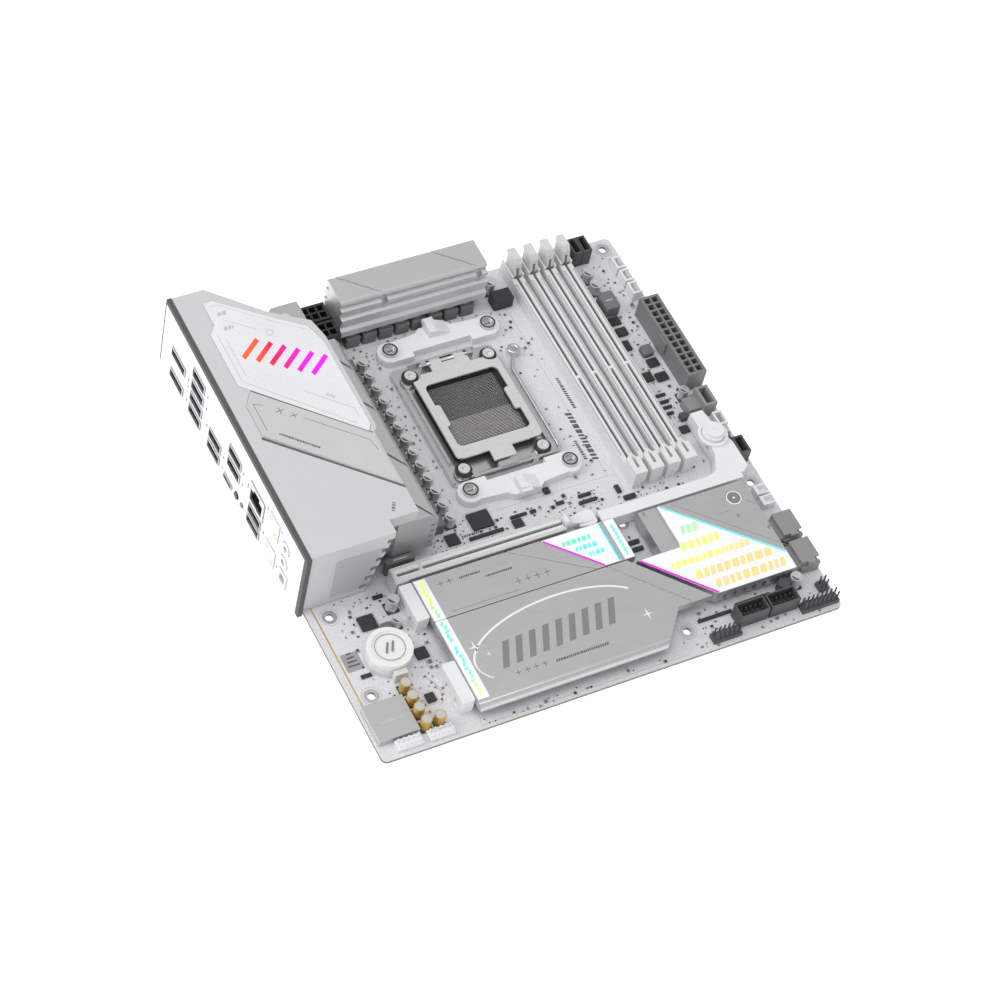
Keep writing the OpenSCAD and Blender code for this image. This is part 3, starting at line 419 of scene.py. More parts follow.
def board_axes(tree):
    """Sockets with x, y and z in board millimetres."""
    place = add_node(tree, "TexCoord").outputs["Object"]
    split = add_node(tree, "SeparateXYZ")
    link(tree, place, split.inputs[0])
    return [pair(tree, "MULTIPLY", pair(tree, "SUBTRACT", split.outputs[k], float(corner[k])), 1000.0)
            for k in range(3)]


def finish(name, colour, rough=0.5, metal=0.0, cloud=0.05, grain=0.3, grain_size=0.25, bump=0.02,
           stretch=(1, 1, 1), coat=0.0, glow=0.0):
    """A finish with slow colour change, fine grain in bump and roughness; sizes in millimetres."""
    material = bpy.data.materials.new(name)
    material.use_nodes = True
    tree = material.node_tree
    shader = tree.nodes["Principled BSDF"]
    shader.inputs["Metallic"].default_value = metal
    if coat:
        shader.inputs["Coat Weight"].default_value = coat
        shader.inputs["Coat Roughness"].default_value = 0.08
    place = add_node(tree, "TexCoord").outputs["Object"]
    slow = add_node(tree, "TexNoise", Scale=55.0, Detail=2.0)
    link(tree, place, slow.inputs["Vector"])
    darker = tuple(c * (1 - cloud) for c in colour)
    lighter = tuple(min(1.0, c * (1 + cloud)) for c in colour)
    shade = blend_colour(tree, slow.outputs["Fac"], darker, lighter)
    turn = add_node(tree, "Mapping", Scale=stretch)
    link(tree, place, turn.inputs["Vector"])
    fine = add_node(tree, "TexNoise", Scale=1000.0 / grain_size / 2, Detail=3.0)
    link(tree, turn.outputs[0], fine.inputs["Vector"])
    level = pair(tree, "MULTIPLY_ADD", fine.outputs["Fac"], grain * 0.4, 1 - grain * 0.2)
    tone = add_node(tree, "Mix", data_type="RGBA", blend_type="MULTIPLY", Factor=1.0)
    link(tree, shade, tone.inputs[6])
    grey = add_node(tree, "CombineColor")
    for k in range(3):
        link(tree, level, grey.inputs[k])
    link(tree, grey.outputs[0], tone.inputs[7])
    link(tree, tone.outputs[2], shader.inputs["Base Color"])
    link(tree, pair(tree, "MULTIPLY_ADD", fine.outputs["Fac"], 0.16, rough - 0.08), shader.inputs["Roughness"])
    relief = add_node(tree, "Bump", Strength=min(1.0, bump * 10), Distance=bump * MM)
    link(tree, fine.outputs["Fac"], relief.inputs["Height"])
    link(tree, relief.outputs[0], shader.inputs["Normal"])
    if glow:
        link(tree, shade, shader.inputs["Emission Color"])
        shader.inputs["Emission Strength"].default_value = glow
    return material


def colour_of(material):
    """The shader and the socket that now feeds its base colour, so that a later step can paint over it."""
    tree = material.node_tree
    shader = tree.nodes["Principled BSDF"]
    return tree, shader, shader.inputs["Base Color"].links[0].from_socket


white_plastic = finish("white_moulding", (0.80, 0.80, 0.82), 0.42, cloud=0.02, grain=0.12)
slot_plastic = finish("slot_moulding", (0.74, 0.74, 0.75), 0.45, cloud=0.03, grain=0.15)
latch_plastic = finish("latch_moulding", (0.66, 0.66, 0.67), 0.42, cloud=0.03, grain=0.12)
grey_plastic = finish("grey_moulding", (0.20, 0.20, 0.205), 0.5, cloud=0.05, grain=0.2)
mid_plastic = finish("storage_moulding", (0.27, 0.27, 0.275), 0.5, cloud=0.05, grain=0.2)
dark_plastic = finish("dark_moulding", (0.075, 0.075, 0.08), 0.5, cloud=0.08, grain=0.2)
black_plastic = finish("black_moulding", (0.022, 0.022, 0.024), 0.45, cloud=0.10, grain=0.3)
chip_resin = finish("chip_resin", (0.028, 0.028, 0.031), 0.55, cloud=0.12, grain=0.5, grain_size=0.15)
choke_powder = finish("choke_powder", (0.16, 0.16, 0.165), 0.6, cloud=0.1, grain=0.6, grain_size=0.3, bump=0.05)
blasted = finish("blasted_aluminium", (0.60, 0.60, 0.61), 0.48, 1.0, 0.03, 0.25, 0.2, 0.02)
top_sink_metal = finish("shaded_aluminium", (0.68, 0.68, 0.69), 0.46, 1.0, 0.04, 0.25, 0.2, 0.02)
plate_metal = finish("plate_aluminium", (0.60, 0.60, 0.61), 0.46, 1.0, 0.02, 0.3, 0.3, 0.01, (0.06, 1, 1))
cover_paint = finish("cover_paint", (0.62, 0.62, 0.635), 0.40, 0.15, 0.02, 0.15, 0.2, 0.01)
trim_metal = finish("trim_aluminium", (0.64, 0.64, 0.65), 0.40, 0.35, 0.02, 0.35, 0.3, 0.01, (0.08, 1, 1))
panel_paint = finish("panel_paint", (0.76, 0.76, 0.78), 0.38, 0.0, 0.02, 0.1)
bright_steel = finish("bright_steel", (0.84, 0.84, 0.85), 0.28, 0.75, 0.02, 0.3, 0.3, 0.008, (0.1, 1, 1))
stamped_steel = finish("stamped_steel", (0.62, 0.62, 0.63), 0.30, 1.0, 0.04, 0.3, 0.3, 0.01)
dull_steel = finish("dull_steel", (0.40, 0.40, 0.41), 0.42, 1.0, 0.06, 0.4, 0.4, 0.02)
tin = finish("tinned_ends", (0.66, 0.66, 0.67), 0.32, 1.0, 0.04, 0.3)
gold = finish("gold_plate", (0.80, 0.56, 0.24), 0.30, 1.0, 0.04, 0.2)
can_top = finish("can_aluminium", (0.74, 0.74, 0.75), 0.34, 0.9, 0.03, 0.3)
pad_soft = finish("soft_pad", (0.30, 0.40, 0.52), 0.8, cloud=0.08, grain=0.5, bump=0.05)
foam = finish("edge_foam", (0.09, 0.09, 0.093), 0.7, cloud=0.15, grain=0.6, grain_size=0.5, bump=0.08)
cap_gloss = finish("cap_gloss", (0.82, 0.82, 0.81), 0.2, cloud=0.02, grain=0.08, coat=0.6)
lamp_white = finish("lamp_white", (0.86, 0.86, 0.88), 0.3, cloud=0.015, grain=0.08, coat=0.3, glow=0.12)
window_white = finish("window_white", (0.78, 0.78, 0.80), 0.28, cloud=0.05, grain=0.25, grain_size=0.8,
                      coat=0.5)
print("finishes:", len(bpy.data.materials))

# %% [markdown]
# ## Solder mask
# White solder mask over copper is never plain. Tracks show as slightly raised, slightly brighter lines,
# vias as small dots, and the cut edge is bare glass fibre, darker and brown. Tracks come from the
# borders of square cells, so they run straight and turn at right angles or on the diagonal.

# %% Solder mask
mask = finish("solder_mask", (0.70, 0.70, 0.735), 0.38, cloud=0.025, grain=0.1)
tree, shader, base = colour_of(mask)
bx, by, bz = board_axes(tree)
flat = add_node(tree, "CombineXYZ")
link(tree, bx, flat.inputs[0])
link(tree, by, flat.inputs[1])
cells = add_node(tree, "TexVoronoi", feature="DISTANCE_TO_EDGE", voronoi_dimensions="2D", Scale=0.11,
                 Randomness=0.9)
link(tree, flat.outputs[0], cells.inputs["Vector"])
tracks = pair(tree, "LESS_THAN", pair(tree, "ABSOLUTE", pair(tree, "SUBTRACT", pair(
    tree, "FRACT", pair(tree, "MULTIPLY", cells.outputs["Distance"], 7.0)), 0.5)), 0.13)
dots = add_node(tree, "TexVoronoi", feature="F1", voronoi_dimensions="2D", Scale=0.42, Randomness=1.0)
link(tree, flat.outputs[0], dots.inputs["Vector"])
vias = pair(tree, "LESS_THAN", dots.outputs["Distance"], 0.085)
tracked = blend_colour(tree, pair(tree, "MULTIPLY", tracks, 0.5), base, (0.60, 0.60, 0.65))
dotted = blend_colour(tree, pair(tree, "MULTIPLY", vias, 0.75), tracked, (0.34, 0.34, 0.36))
layers = pair(tree, "FRACT", pair(tree, "MULTIPLY", bz, 5.0))
glass = blend_colour(tree, layers, (0.13, 0.11, 0.075), (0.20, 0.17, 0.12))
EDGE_SKIN = 0.03
inside = []
for axis in (bx, by):
    past_low = pair(tree, "GREATER_THAN", axis, EDGE_SKIN)
    short_of_high = pair(tree, "LESS_THAN", axis, BOARD - EDGE_SKIN)
    inside.append(pair(tree, "MULTIPLY", past_low, short_of_high))
inner = pair(tree, "MULTIPLY", inside[0], inside[1])
rim = pair(tree, "ADD", pair(tree, "SUBTRACT", 1.0, inner), pair(tree, "MULTIPLY", inner, pair(
    tree, "MULTIPLY", pair(tree, "LESS_THAN", bz, -0.03), pair(tree, "GREATER_THAN", bz, -THICK + 0.03))))
link(tree, blend_colour(tree, rim, dotted, glass), shader.inputs["Base Color"])
lift = add_node(tree, "Bump", Strength=0.4, Distance=0.03 * MM)
link(tree, tracks, lift.inputs["Height"])
link(tree, lift.outputs[0], shader.inputs["Normal"])
print("solder mask ready")

# %% [markdown]
# ## The contact bed
# The processor's contacts stand in two fields whose blades lean opposite ways, so under the lamps one
# half looks darker than the other. That look is painted into the colour: painted shade on the darker half,
# painted sheen on the lighter half and painted highlight stripes across the diagonal in each half; the
# blades themselves come later as geometry.

# %% Contact bed
contact_bed_painted_light = finish("contact_bed_painted_light", (0.10, 0.09, 0.085), 0.42, 0.4, 0.05, 0.3)
tree, shader, base = colour_of(contact_bed_painted_light)
bx, by, bz = board_axes(tree)
# Painted sheen and shade: bright stripes along the diagonal and one lighter half stand for light caught by the
# leaning blades, and the other half is painted shade.
diagonal = pair(tree, "ADD", bx, pair(tree, "MULTIPLY", by, 0.55))
painted_sheen_stripes = pair(tree, "MULTIPLY_ADD", pair(tree, "SINE", pair(tree, "MULTIPLY", diagonal, 3.4)), 0.5, 0.5)
painted_shade_half = blend_colour(tree, painted_sheen_stripes, (0.030, 0.030, 0.032), (0.075, 0.072, 0.07))
painted_sheen_half = blend_colour(tree, painted_sheen_stripes, (0.13, 0.12, 0.115), (0.30, 0.285, 0.275))
BED_MIDDLE = 162.0
nearer_half = pair(tree, "LESS_THAN", by, BED_MIDDLE)
link(tree, blend_colour(tree, nearer_half, painted_shade_half, painted_sheen_half), shader.inputs["Base Color"])
print("contact bed ready")

# %% [markdown]
# ## Dressing the CAD nodes
# A CAD node keeps its shape, and only its finish is set. Where one node has two finishes, such as a
# can with a printed sleeve, the finish changes at a height on the board.

# %% Two finishes in one
def banded(name, low, high, height, metal_above=None):
    """The first finish's colour below a height in board millimetres and a second colour above it."""
    material = finish(name, low, 0.45, 0.0, 0.06, 0.2)
    tree, shader, base = colour_of(material)
    bz = board_axes(tree)[2]
    above = pair(tree, "GREATER_THAN", bz, height)
    link(tree, blend_colour(tree, above, base, high), shader.inputs["Base Color"])
    if metal_above is not None:
        link(tree, pair(tree, "MULTIPLY", above, metal_above), shader.inputs["Metallic"])
    return material


silver_can = banded("silver_can", (0.05, 0.05, 0.055), (0.66, 0.66, 0.67), 0.9, 0.8)
gold_can = banded("gold_can", (0.05, 0.04, 0.03), (0.62, 0.42, 0.11), 0.9, 0.6)
port_metal = finish("port_metal", (0.62, 0.62, 0.63), 0.34, 0.9, 0.04, 0.2)
antenna_block = finish("antenna_block", (0.74, 0.74, 0.76), 0.4, 0.1, 0.03, 0.15)

DRESS = {
    "pcb": mask, "io_panel": panel_paint, "io_panel_frame": foam, "io_cover": cover_paint,
    "cover_window": window_white, "cover_trim": trim_metal, "power_heatsink_side": blasted,
    "power_heatsink_top": top_sink_metal, "power_stages": chip_resin, "thermal_pads": pad_soft,
    "power_chokes": choke_powder, "power_capacitors": silver_can, "socket_backplate": dull_steel,
    "socket_housing": black_plastic, "socket_contacts": contact_bed_painted_light, "socket_frame": stamped_steel,
    "socket_load_plate": bright_steel, "socket_lever": stamped_steel, "socket_screws": bright_steel,
    "cooler_brackets": white_plastic, "cooler_screws": stamped_steel, "memory_slots": slot_plastic,
    "memory_latch_1": latch_plastic, "memory_latch_2": latch_plastic, "memory_latch_3": latch_plastic,
    "memory_latch_4": latch_plastic, "graphics_slot": slot_plastic, "graphics_slot_shell": bright_steel,
    "graphics_latch": white_plastic, "release_cover": white_plastic, "release_button": white_plastic,
    "release_slider": stamped_steel, "release_rod": stamped_steel, "drive_heatsink_lower": plate_metal,
    "drive_heatsink_upper": plate_metal, "drive_light_strips": lamp_white, "drive_connectors": black_plastic,
    "drive_latch": white_plastic, "drive_standoffs": gold, "end_blocks": white_plastic,
    "chipset_heatsink": plate_metal, "chipset_light_panel": lamp_white, "chipset_chip": chip_resin,
    "main_power_connector": grey_plastic, "cpu_power_connectors": black_plastic, "storage_ports": mid_plastic,
    "black_headers": dark_plastic, "white_headers": white_plastic, "front_usb_socket": mid_plastic,
    "battery_holder": latch_plastic, "battery": stamped_steel, "battery_cap": cap_gloss,
    "audio_shield": blasted, "audio_capacitors": gold_can, "chips": chip_resin,
    "usb_port_stacks": port_metal, "display_and_lan_ports": port_metal,
    "audio_and_antenna_ports": antenna_block, "bios_button": black_plastic, "clear_button": grey_plastic}


def dress(name, material):
    """Puts one finish on every material slot of a CAD node."""
    mesh = nodes[name].data
    mesh.materials.clear()
    mesh.materials.append(material)


for name in nodes:
    dress(name, DRESS[name])
print("dressed", len(DRESS), "nodes")

# %% [markdown]
# ## Small surface-mounted parts
# A board this size carries several hundred parts as small as half a millimetre. Each has a dark or
# ceramic body and two tinned ends. They are sown over the open parts of the board from seeded random
# numbers, kept on a half-millimetre grid, and put down only where rays from above find bare board.

# %% Sowing the small parts
holes = np.array([[10.16, 34.29], [10.16, 80.01], [165.10, 13.97], [165.10, 80.01],
                  [237.49, 80.01], [33.02, 237.49], [165.10, 237.49], [237.49, 237.49]])
block_points, block_faces = brick(0.14)
part_points, part_faces = stack([
    (block_points * (0.62, 1, 1), block_faces),
    (block_points * (0.22, 1.04, 1.04) - (0.40, 0, 0), block_faces),
    (block_points * (0.22, 1.04, 1.04) + (0.40, 0, 0), block_faces)])
PART_SIZES = np.array([[1.0, 0.5, 0.35], [1.6, 0.8, 0.5], [2.0, 1.25, 0.7], [3.2, 1.6, 0.9]])


def sow(zones, up=1.0, surface=0.0):
    """Rows of x, y, size index, quarter turns and kind for parts that fit in the zones."""
    found = []
    for x0, y0, x1, y1, count in zones:
        for _ in range(count):
            size = int(draw.choice(4, p=[0.42, 0.38, 0.15, 0.05]))
            quarter = int(draw.integers(0, 2))
            x, y = np.round(draw.uniform((x0, y0), (x1, y1)) * 2) / 2
            reach = PART_SIZES[size][0] * 0.5 + 0.25
            if np.hypot(*(holes - (x, y)).T).min() < 5.5 + reach:
                continue
            near = [abs(x - f[0]) < reach + PART_SIZES[f[2]][0] * 0.5 + 0.1 and
                    abs(y - f[1]) < reach + PART_SIZES[f[2]][0] * 0.5 + 0.1 for f in found]
            if any(near) or not is_free(x, y, reach, up, surface):
                continue
            found.append((x, y, size, quarter, int(draw.random() < 0.45)))
    return found


def plant(name, found, surface=0.0, up=1.0):
    """The sown rows as one piece: body dark or ceramic, ends tinned."""
    rows = np.array(found, float)
    places = np.column_stack([rows[:, :2], np.full(len(rows), surface)])
    scales = PART_SIZES[rows[:, 2].astype(int)] * (1, 1, up)
    points, faces = copies(part_points, part_faces, places, scales, rows[:, 3] * np.pi / 2)
    if up < 0:
        faces = [f[::-1] for f in faces]
    per = len(block_faces)
    which = [m for kind in rows[:, 4] for m in [int(kind)] * per + [2] * (2 * per)]
    return make_piece(name, points, faces, [chip_resin, ceramic, tin], slot="chips", which=which)


ceramic = finish("ceramic", (0.20, 0.17, 0.145), 0.5, cloud=0.15, grain=0.3)
top_parts = sow([
    (6, 14, 44, 36, 90), (12, 36, 48, 86, 190), (64, 87, 165, 104, 330), (82, 104, 100, 215, 110),
    (84, 206, 170, 222, 130), (156, 110, 176, 215, 40), (170, 86, 205, 96, 70), (205, 96, 243, 240, 430),
    (150, 20, 236, 84, 150), (50, 1.5, 232, 10, 150), (160, 8, 232, 30, 150), (64, 92, 82, 108, 40)])
plant("surface_parts", top_parts)
under_parts = sow([(12, 8, 232, 236, 420)], -1.0, -THICK)
plant("surface_parts_underneath", under_parts, -THICK, -1.0)
print(len(top_parts), "parts above,", len(under_parts), "below")

# %% [markdown]
# ## Chip legs
# Every flat chip gets a row of short tinned legs along its sides.

# %% Chip legs
chip_boxes = [b for b in islands("chips") if min(b[3] - b[0], b[4] - b[1]) > 2.4 and b[2] < 0.3]
leg_places, leg_scales = [], []
for x0, y0, z0, x1, y1, z1 in chip_boxes:
    for x in np.arange(x0 + 0.6, x1 - 0.4, 0.8):
        for y in (y0 - 0.25, y1 + 0.25):
            leg_places.append((x, y, 0))
            leg_scales.append((0.3, 0.7, 0.3))
    for y in np.arange(y0 + 0.6, y1 - 0.4, 0.8):
        for x in (x0 - 0.25, x1 + 0.25):
            leg_places.append((x, y, 0))
            leg_scales.append((0.7, 0.3, 0.3))
make_piece("chip_legs", *copies(block_points, block_faces, leg_places, leg_scales), [tin], slot="chips")
print(len(chip_boxes), "chips with", len(leg_places), "legs")

# %% [markdown]
# ## Solder underneath
# Pins that pass through the board end in small domes of solder below it, in the rows of the slots and
# plugs above. None are put where the steel backplate lies.

# %% Solder domes
def grid(x0, y0, nx, ny, dx, dy):
    """Rows of x, y on a regular grid."""
    xs, ys = np.meshgrid(x0 + dx * np.arange(nx), y0 + dy * np.arange(ny), indexing="ij")
    return np.column_stack([xs.ravel(), ys.ravel()])


dome_spots = np.concatenate(
    [grid(182.7 + 9.2 * i - 1.5, 104, 2, 140, 3.0, 0.85) for i in range(4)] +
    [grid(46, 82.4, 84, 2, 1.0, 3.0), grid(226.5, 151.5, 2, 12, 4.2, 4.2), grid(63.5, 223.8, 4, 2, 4.2, 11.4),
     grid(63.5, 228.0, 4, 2, 4.2, 11.4), grid(175, 3.9, 6, 2, 2.54, 2.54), grid(224, 3.9, 7, 2, 2.54, 2.54)])
dome_spots = np.array([p for p in dome_spots if is_free(p[0], p[1], 0.5, -1.0, -THICK)])
dome = turned([(0.48, 0.0), (0.40, -0.35), (0.16, -0.75)], 6)
dome = (dome[0], [f[::-1] for f in dome[1]])
make_piece("solder_domes", *copies(*dome, np.column_stack([dome_spots, np.full(len(dome_spots), -THICK)])),
           [tin], slot="pcb")
ring_parts = []
for x, y in holes:
    for low, high in ((0.0, 0.05), (-THICK - 0.05, -THICK)):
        p, f = tube_ring(2.1, 3.7, low, high)
        ring_parts.append((p + (x, y, 0), f))
make_piece("hole_pads", *stack(ring_parts), [tin], slot="pcb")
outline_parts = []
for x, y in holes:
    p, f = tube_ring(4.6, 4.75, 0.0, 0.04)
    outline_parts.append((p + (x, y, 0), f))
print(len(dome_spots), "solder domes,", len(holes), "hole pads")

# %% [markdown]
# ## Printing on the board
# The board's printing is grey on white: outlines round parts, rings round holes, dashes for legends.
# All legends here are plain slanted dashes that spell nothing. A gold line guards the audio corner.

# %% Board printing
print_grey = finish("board_print", (0.10, 0.10, 0.105), 0.6, cloud=0.05, grain=0.2)
soft_print = finish("board_print_soft", (0.33, 0.33, 0.345), 0.6, cloud=0.05, grain=0.2)


def legend(x, y, count, height, turn):
    """A row of slanted dashes of seeded widths, starting at x, y and running along the turn."""
    widths = draw.uniform(0.35, 0.9, count) * height
    starts = np.cumsum(widths + height * 0.28) - widths
    a = math.radians(turn)
    return [(x + (s + w / 2) * math.cos(a), y + (s + w / 2) * math.sin(a), w, height, turn, 0.25)
            for s, w in zip(starts, widths)]


big_rows = legend(171.2, 118, 12, 3.0, 90) + legend(176.0, 150, 14, 1.6, 90) + legend(166.6, 120, 9, 1.6, 90)
big_rows += legend(88, 99.5, 8, 1.3, 0) + legend(12, 5.5, 5, 1.2, 0) + legend(20, 88, 4, 1.2, 0)
make_piece("board_legends", *bars(big_rows, 0.0, 0.03), [print_grey], slot="pcb")
for x0, y0, z0, x1, y1, z1 in chip_boxes:
    path = [(x0 - 1, y0 - 1), (x1 + 1, y0 - 1), (x1 + 1, y1 + 1), (x0 - 1, y1 + 1)]
    outline_parts.append(ribbon(path, 0.12, 0.0, 0.03, closed=True))
for path in ([(84, 110), (84, 219), (172, 219), (172, 108), (90, 108)], [(206, 98), (206, 238)],
             [(50, 2.2), (160, 2.2)], [(176, 100), (176, 112), (179, 115)]):
    outline_parts.append(ribbon(path, 0.14, 0.0, 0.02))
make_piece("board_outlines", *stack(outline_parts), [soft_print], slot="pcb")
corner_square = slab([(5.5, 49), (14, 49), (14, 59), (5.5, 59)], 0.0, 0.03)
make_piece("corner_mark", *corner_square, [soft_print], slot="pcb")
corner_bars = [(9.75, 52 + 2.2 * k, 6.0 - 1.2 * k, 0.9, 0, 0.4) for k in range(4)]
make_piece("corner_mark_bars", *bars(corner_bars, 0.03, 0.06), [print_grey], slot="pcb")
guard = ribbon([(4, 26), (4, 88)], 0.7, 0.0, 0.04)
arc_line = ribbon(swing((34, 26), 7, 9, -50, 60), 0.4, 0.0, 0.04)
make_piece("gold_guard_line", *stack([guard, arc_line]), [gold], slot="pcb")
print("printing done")

# %% [markdown]
# ## Inside the slots
# Both walls of each slot carry spring contacts. Seen from above they are thin bright ticks in a dark
# groove, so each is a narrow blade just proud of the wall.

# %% Slot contacts
def places_of(x, y, z):
    """Places in rows from three values, each an array or one number for all."""
    return np.column_stack(np.broadcast_arrays(x, y, z))


contact_rows = []
for i in range(4):
    centre = 182.7 + 9.2 * i
    spots = np.concatenate([np.arange(101.4, 161.4, 0.85), np.arange(164.4, 228.6, 0.85)])
    for side in (-0.62, 0.62):
        contact_rows.append(places_of(centre + side, spots, 3.0))
slot_spots = np.concatenate([np.arange(46, 56, 1.0), np.arange(59.6, 131.8, 1.0)])
card_rows = [places_of(slot_spots, 83.95 + side, 3.2) for side in (-0.7, 0.7)]
memory_spots, card_spots = np.concatenate(contact_rows), np.concatenate(card_rows)
plain_points, plain_faces = brick(0.2)
memory_sizes = np.tile((0.22, 0.42, 3.6), (len(memory_spots), 1))
make_piece("memory_contacts", *copies(plain_points, plain_faces, memory_spots, memory_sizes), [tin],
           slot="memory_slots")
card_sizes = np.tile((0.45, 0.25, 6.0), (len(card_spots), 1))
make_piece("graphics_contacts", *copies(plain_points, plain_faces, card_spots, card_sizes), [tin],
           slot="graphics_slot")
blade_spots = grid(110.3, 147.7, 40, 41, 0.88, 0.86)
blade_places = places_of(blade_spots[:, 0], blade_spots[:, 1], 2.9)
blade_sizes = np.tile((0.5, 0.16, 0.3), (len(blade_spots), 1))
blade_turn = np.where(blade_spots[:, 1] < BED_MIDDLE, 0.6, -0.6)
make_piece("socket_blades", *copies(plain_points, plain_faces, blade_places, blade_sizes, blade_turn),
           [bright_steel], slot="socket_contacts")
print(len(memory_spots) + len(card_spots), "slot contacts,", len(blade_spots), "socket blades")

# %% [markdown]
# ## Ports from the inside
# The openings at the rear look black. Each liner is a thin black sleeve that stops short of the mouth, with
# a tongue and its gold contacts in the middle. Its back stands for the plastic behind the contacts; its
# four walls are painted shade, dark where the inside of the metal shell lies in shade.

# %% Port liners
PORT_WIDTH = 13.4
port_columns = {199.4: [(26.6, 32.6), (17.7, 23.7), (8.8, 14.8), (0.05, 5.9)],
                176.9: [(8.2, 14.2), (0.05, 5.6)],
                155.9: [(21.3, 27.3), (12.4, 18.4)],
                130.9: [(7.3, 13.3), (0.05, 5.3)]}
port_rows = [(y0, y0 + PORT_WIDTH, z0, z1) for y0, spans in port_columns.items() for z0, z1 in spans]
shade_liner_parts, contact_bars = [], []


def sleeve(x0, x1, y0, y1, z0, z1, wall):
    """Four thin walls and a back, open towards the rear."""
    boxes = [(x0, x1, y0, y0 + wall, z0, z1), (x0, x1, y1 - wall, y1, z0, z1),
             (x0, x1, y0, y1, z0, z0 + wall), (x0, x1, y0, y1, z1 - wall, z1),
             (x1 - wall, x1, y0, y1, z0, z1)]
    return copies(*brick(0.0), [((a + b) / 2, (c + d) / 2, e) for a, b, c, d, e, f in boxes],
                  [(b - a, d - c, f - e) for a, b, c, d, e, f in boxes])


def blocks(rows):
    """A small block for each (place, size) row."""
    return copies(block_points, block_faces, [spot for spot, size in rows], [size for spot, size in rows])


# Painted shade: the black walls of each sleeve stand for the shade inside the port's metal shell.
for y0, y1, z0, z1 in port_rows:
    shade_liner_parts.append(sleeve(-2.6, 12.8, y0 + 0.5, y1 - 0.5, z0 + 0.5, z1 - 0.5, 0.25))
    for k in range(4):
        contact_bars.append(((4.0, y0 + 2.9 + 2.54 * k, z1 - 2.95), (7.0, 1.0, 0.15)))
shade_liner_parts.append(sleeve(-2.6, 10.8, 220.9, 235.5, 16.1, 20.7, 0.3))
shade_liner_parts.append(sleeve(-2.6, 10.8, 220.9, 235.1, 0.9, 5.7, 0.3))
shade_liner_parts.append(sleeve(-2.8, 12.6, 131.6, 143.6, 17.6, 24.8, 0.3))
make_piece("port_liners_painted_shade", *stack(shade_liner_parts), [black_plastic], slot="usb_port_stacks")
make_piece("port_contacts", *blocks(contact_bars), [gold], slot="usb_port_stacks")
sleeves = []
ring_points, ring_faces = tube_ring(0.75, 1.6, 0.0, 1.0, 20)
for y0, y1, z0, z1 in ((113.8, 124.2, 20.4, 32.6), (113.8, 124.2, 0.2, 11.6)):
    for y, z in ((y1 - 2.2, z1 - 2.4), (y0 + 2.2, z0 + 2.4)):
        depth = -3.55 + ring_points[:, 2] * 6
        turned_points = np.column_stack([depth, y + ring_points[:, 0], z + ring_points[:, 1]])
        sleeves.append((turned_points, ring_faces))
make_piece("antenna_sleeves", *stack(sleeves), [gold], slot="audio_and_antenna_ports")
print(len(port_rows), "port liners")

# %% [markdown]
# ## Marks on covers and plates
# The covers carry printed and engraved ornament. Here it is all generic: slanted bars, plus signs,
# dashes and arcs. Light marks change colour slowly across their length, as the strips of small lamps
# behind them do.

# %% Mark finishes
def top_of(name):
    """The height of a node's highest point, in millimetres above the board."""
    return float(triangles_of(name)[0][:, 2].max())


def spectrum(name, stops, along, start, length, glow):
    """A finish whose colour runs through the stops along a direction in board millimetres."""
    material = finish(name, (0.5, 0.5, 0.5), 0.4)
    tree, shader, _ = colour_of(material)
    bx, by, _ = board_axes(tree)
    run = pair(tree, "ADD", pair(tree, "MULTIPLY", bx, along[0]), pair(tree, "MULTIPLY", by, along[1]))
    share = pair(tree, "DIVIDE", pair(tree, "SUBTRACT", run, start), length)
    ramp = add_node(tree, "ValToRGB")
    ramp.color_ramp.elements[0].color = (*stops[0], 1)
    ramp.color_ramp.elements[1].color = (*stops[-1], 1)
    for k, stop in enumerate(stops[1:-1], 1):
        ramp.color_ramp.elements.new(k / (len(stops) - 1)).color = (*stop, 1)
    link(tree, share, ramp.inputs["Fac"])
    link(tree, ramp.outputs["Color"], shader.inputs["Base Color"])
    link(tree, ramp.outputs["Color"], shader.inputs["Emission Color"])
    shader.inputs["Emission Strength"].default_value = glow
    return material


dark_mark = finish("dark_mark", (0.11, 0.11, 0.115), 0.5, cloud=0.05, grain=0.2)
mid_mark = finish("engraved_mark", (0.22, 0.22, 0.225), 0.5, cloud=0.05, grain=0.2)
white_mark = finish("white_mark", (0.86, 0.86, 0.87), 0.4, cloud=0.02, grain=0.1)
faint_mark = finish("faint_mark", (0.52, 0.52, 0.54), 0.35, cloud=0.04, grain=0.2)
emblem_glow = spectrum("emblem_glow", [(1.0, 0.10, 0.02), (1.0, 0.0, 0.05), (0.95, 0.0, 0.35), (0.7, 0.0, 0.9)],
                       (1, -0.25), -30.0, 32.0, 0.55)
strip_colours = [(1.0, 0.72, 0.12), (0.75, 0.95, 0.1), (0.15, 0.9, 0.35), (0.1, 0.85, 0.8),
                 (0.2, 0.95, 0.5), (0.95, 0.9, 0.15), (1.0, 0.6, 0.25)]
candy = spectrum("strip_spectrum", strip_colours, (0.3, -1), -68.0, 90.0, 0.30)
magenta_edge = spectrum("magenta_edge", [(0.75, 0.0, 0.62), (0.85, 0.0, 0.75)], (1, 0), 110.0, 60.0, 0.30)
cyan_edge = spectrum("cyan_edge", [(0.02, 0.62, 0.78), (0.05, 0.72, 0.85)], (1, 0), 140.0, 90.0, 0.30)
LIFT = 0.04
levels = {name: top_of(name) for name in (
    "io_cover", "cover_window", "cover_trim", "drive_heatsink_lower", "drive_light_strips",
    "chipset_light_panel")}
print({name: round(level, 2) for name, level in levels.items()})


def plus(x, y, arm, width=0.32):
    """A plus sign from three bars that meet without lying over each other."""
    half = (arm - width / 2) / 2
    return [(x, y, 2 * arm, width, 0, 0), (x, y + width / 2 + half, width, 2 * half, 0, 0),
            (x, y - width / 2 - half, width, 2 * half, 0, 0)]


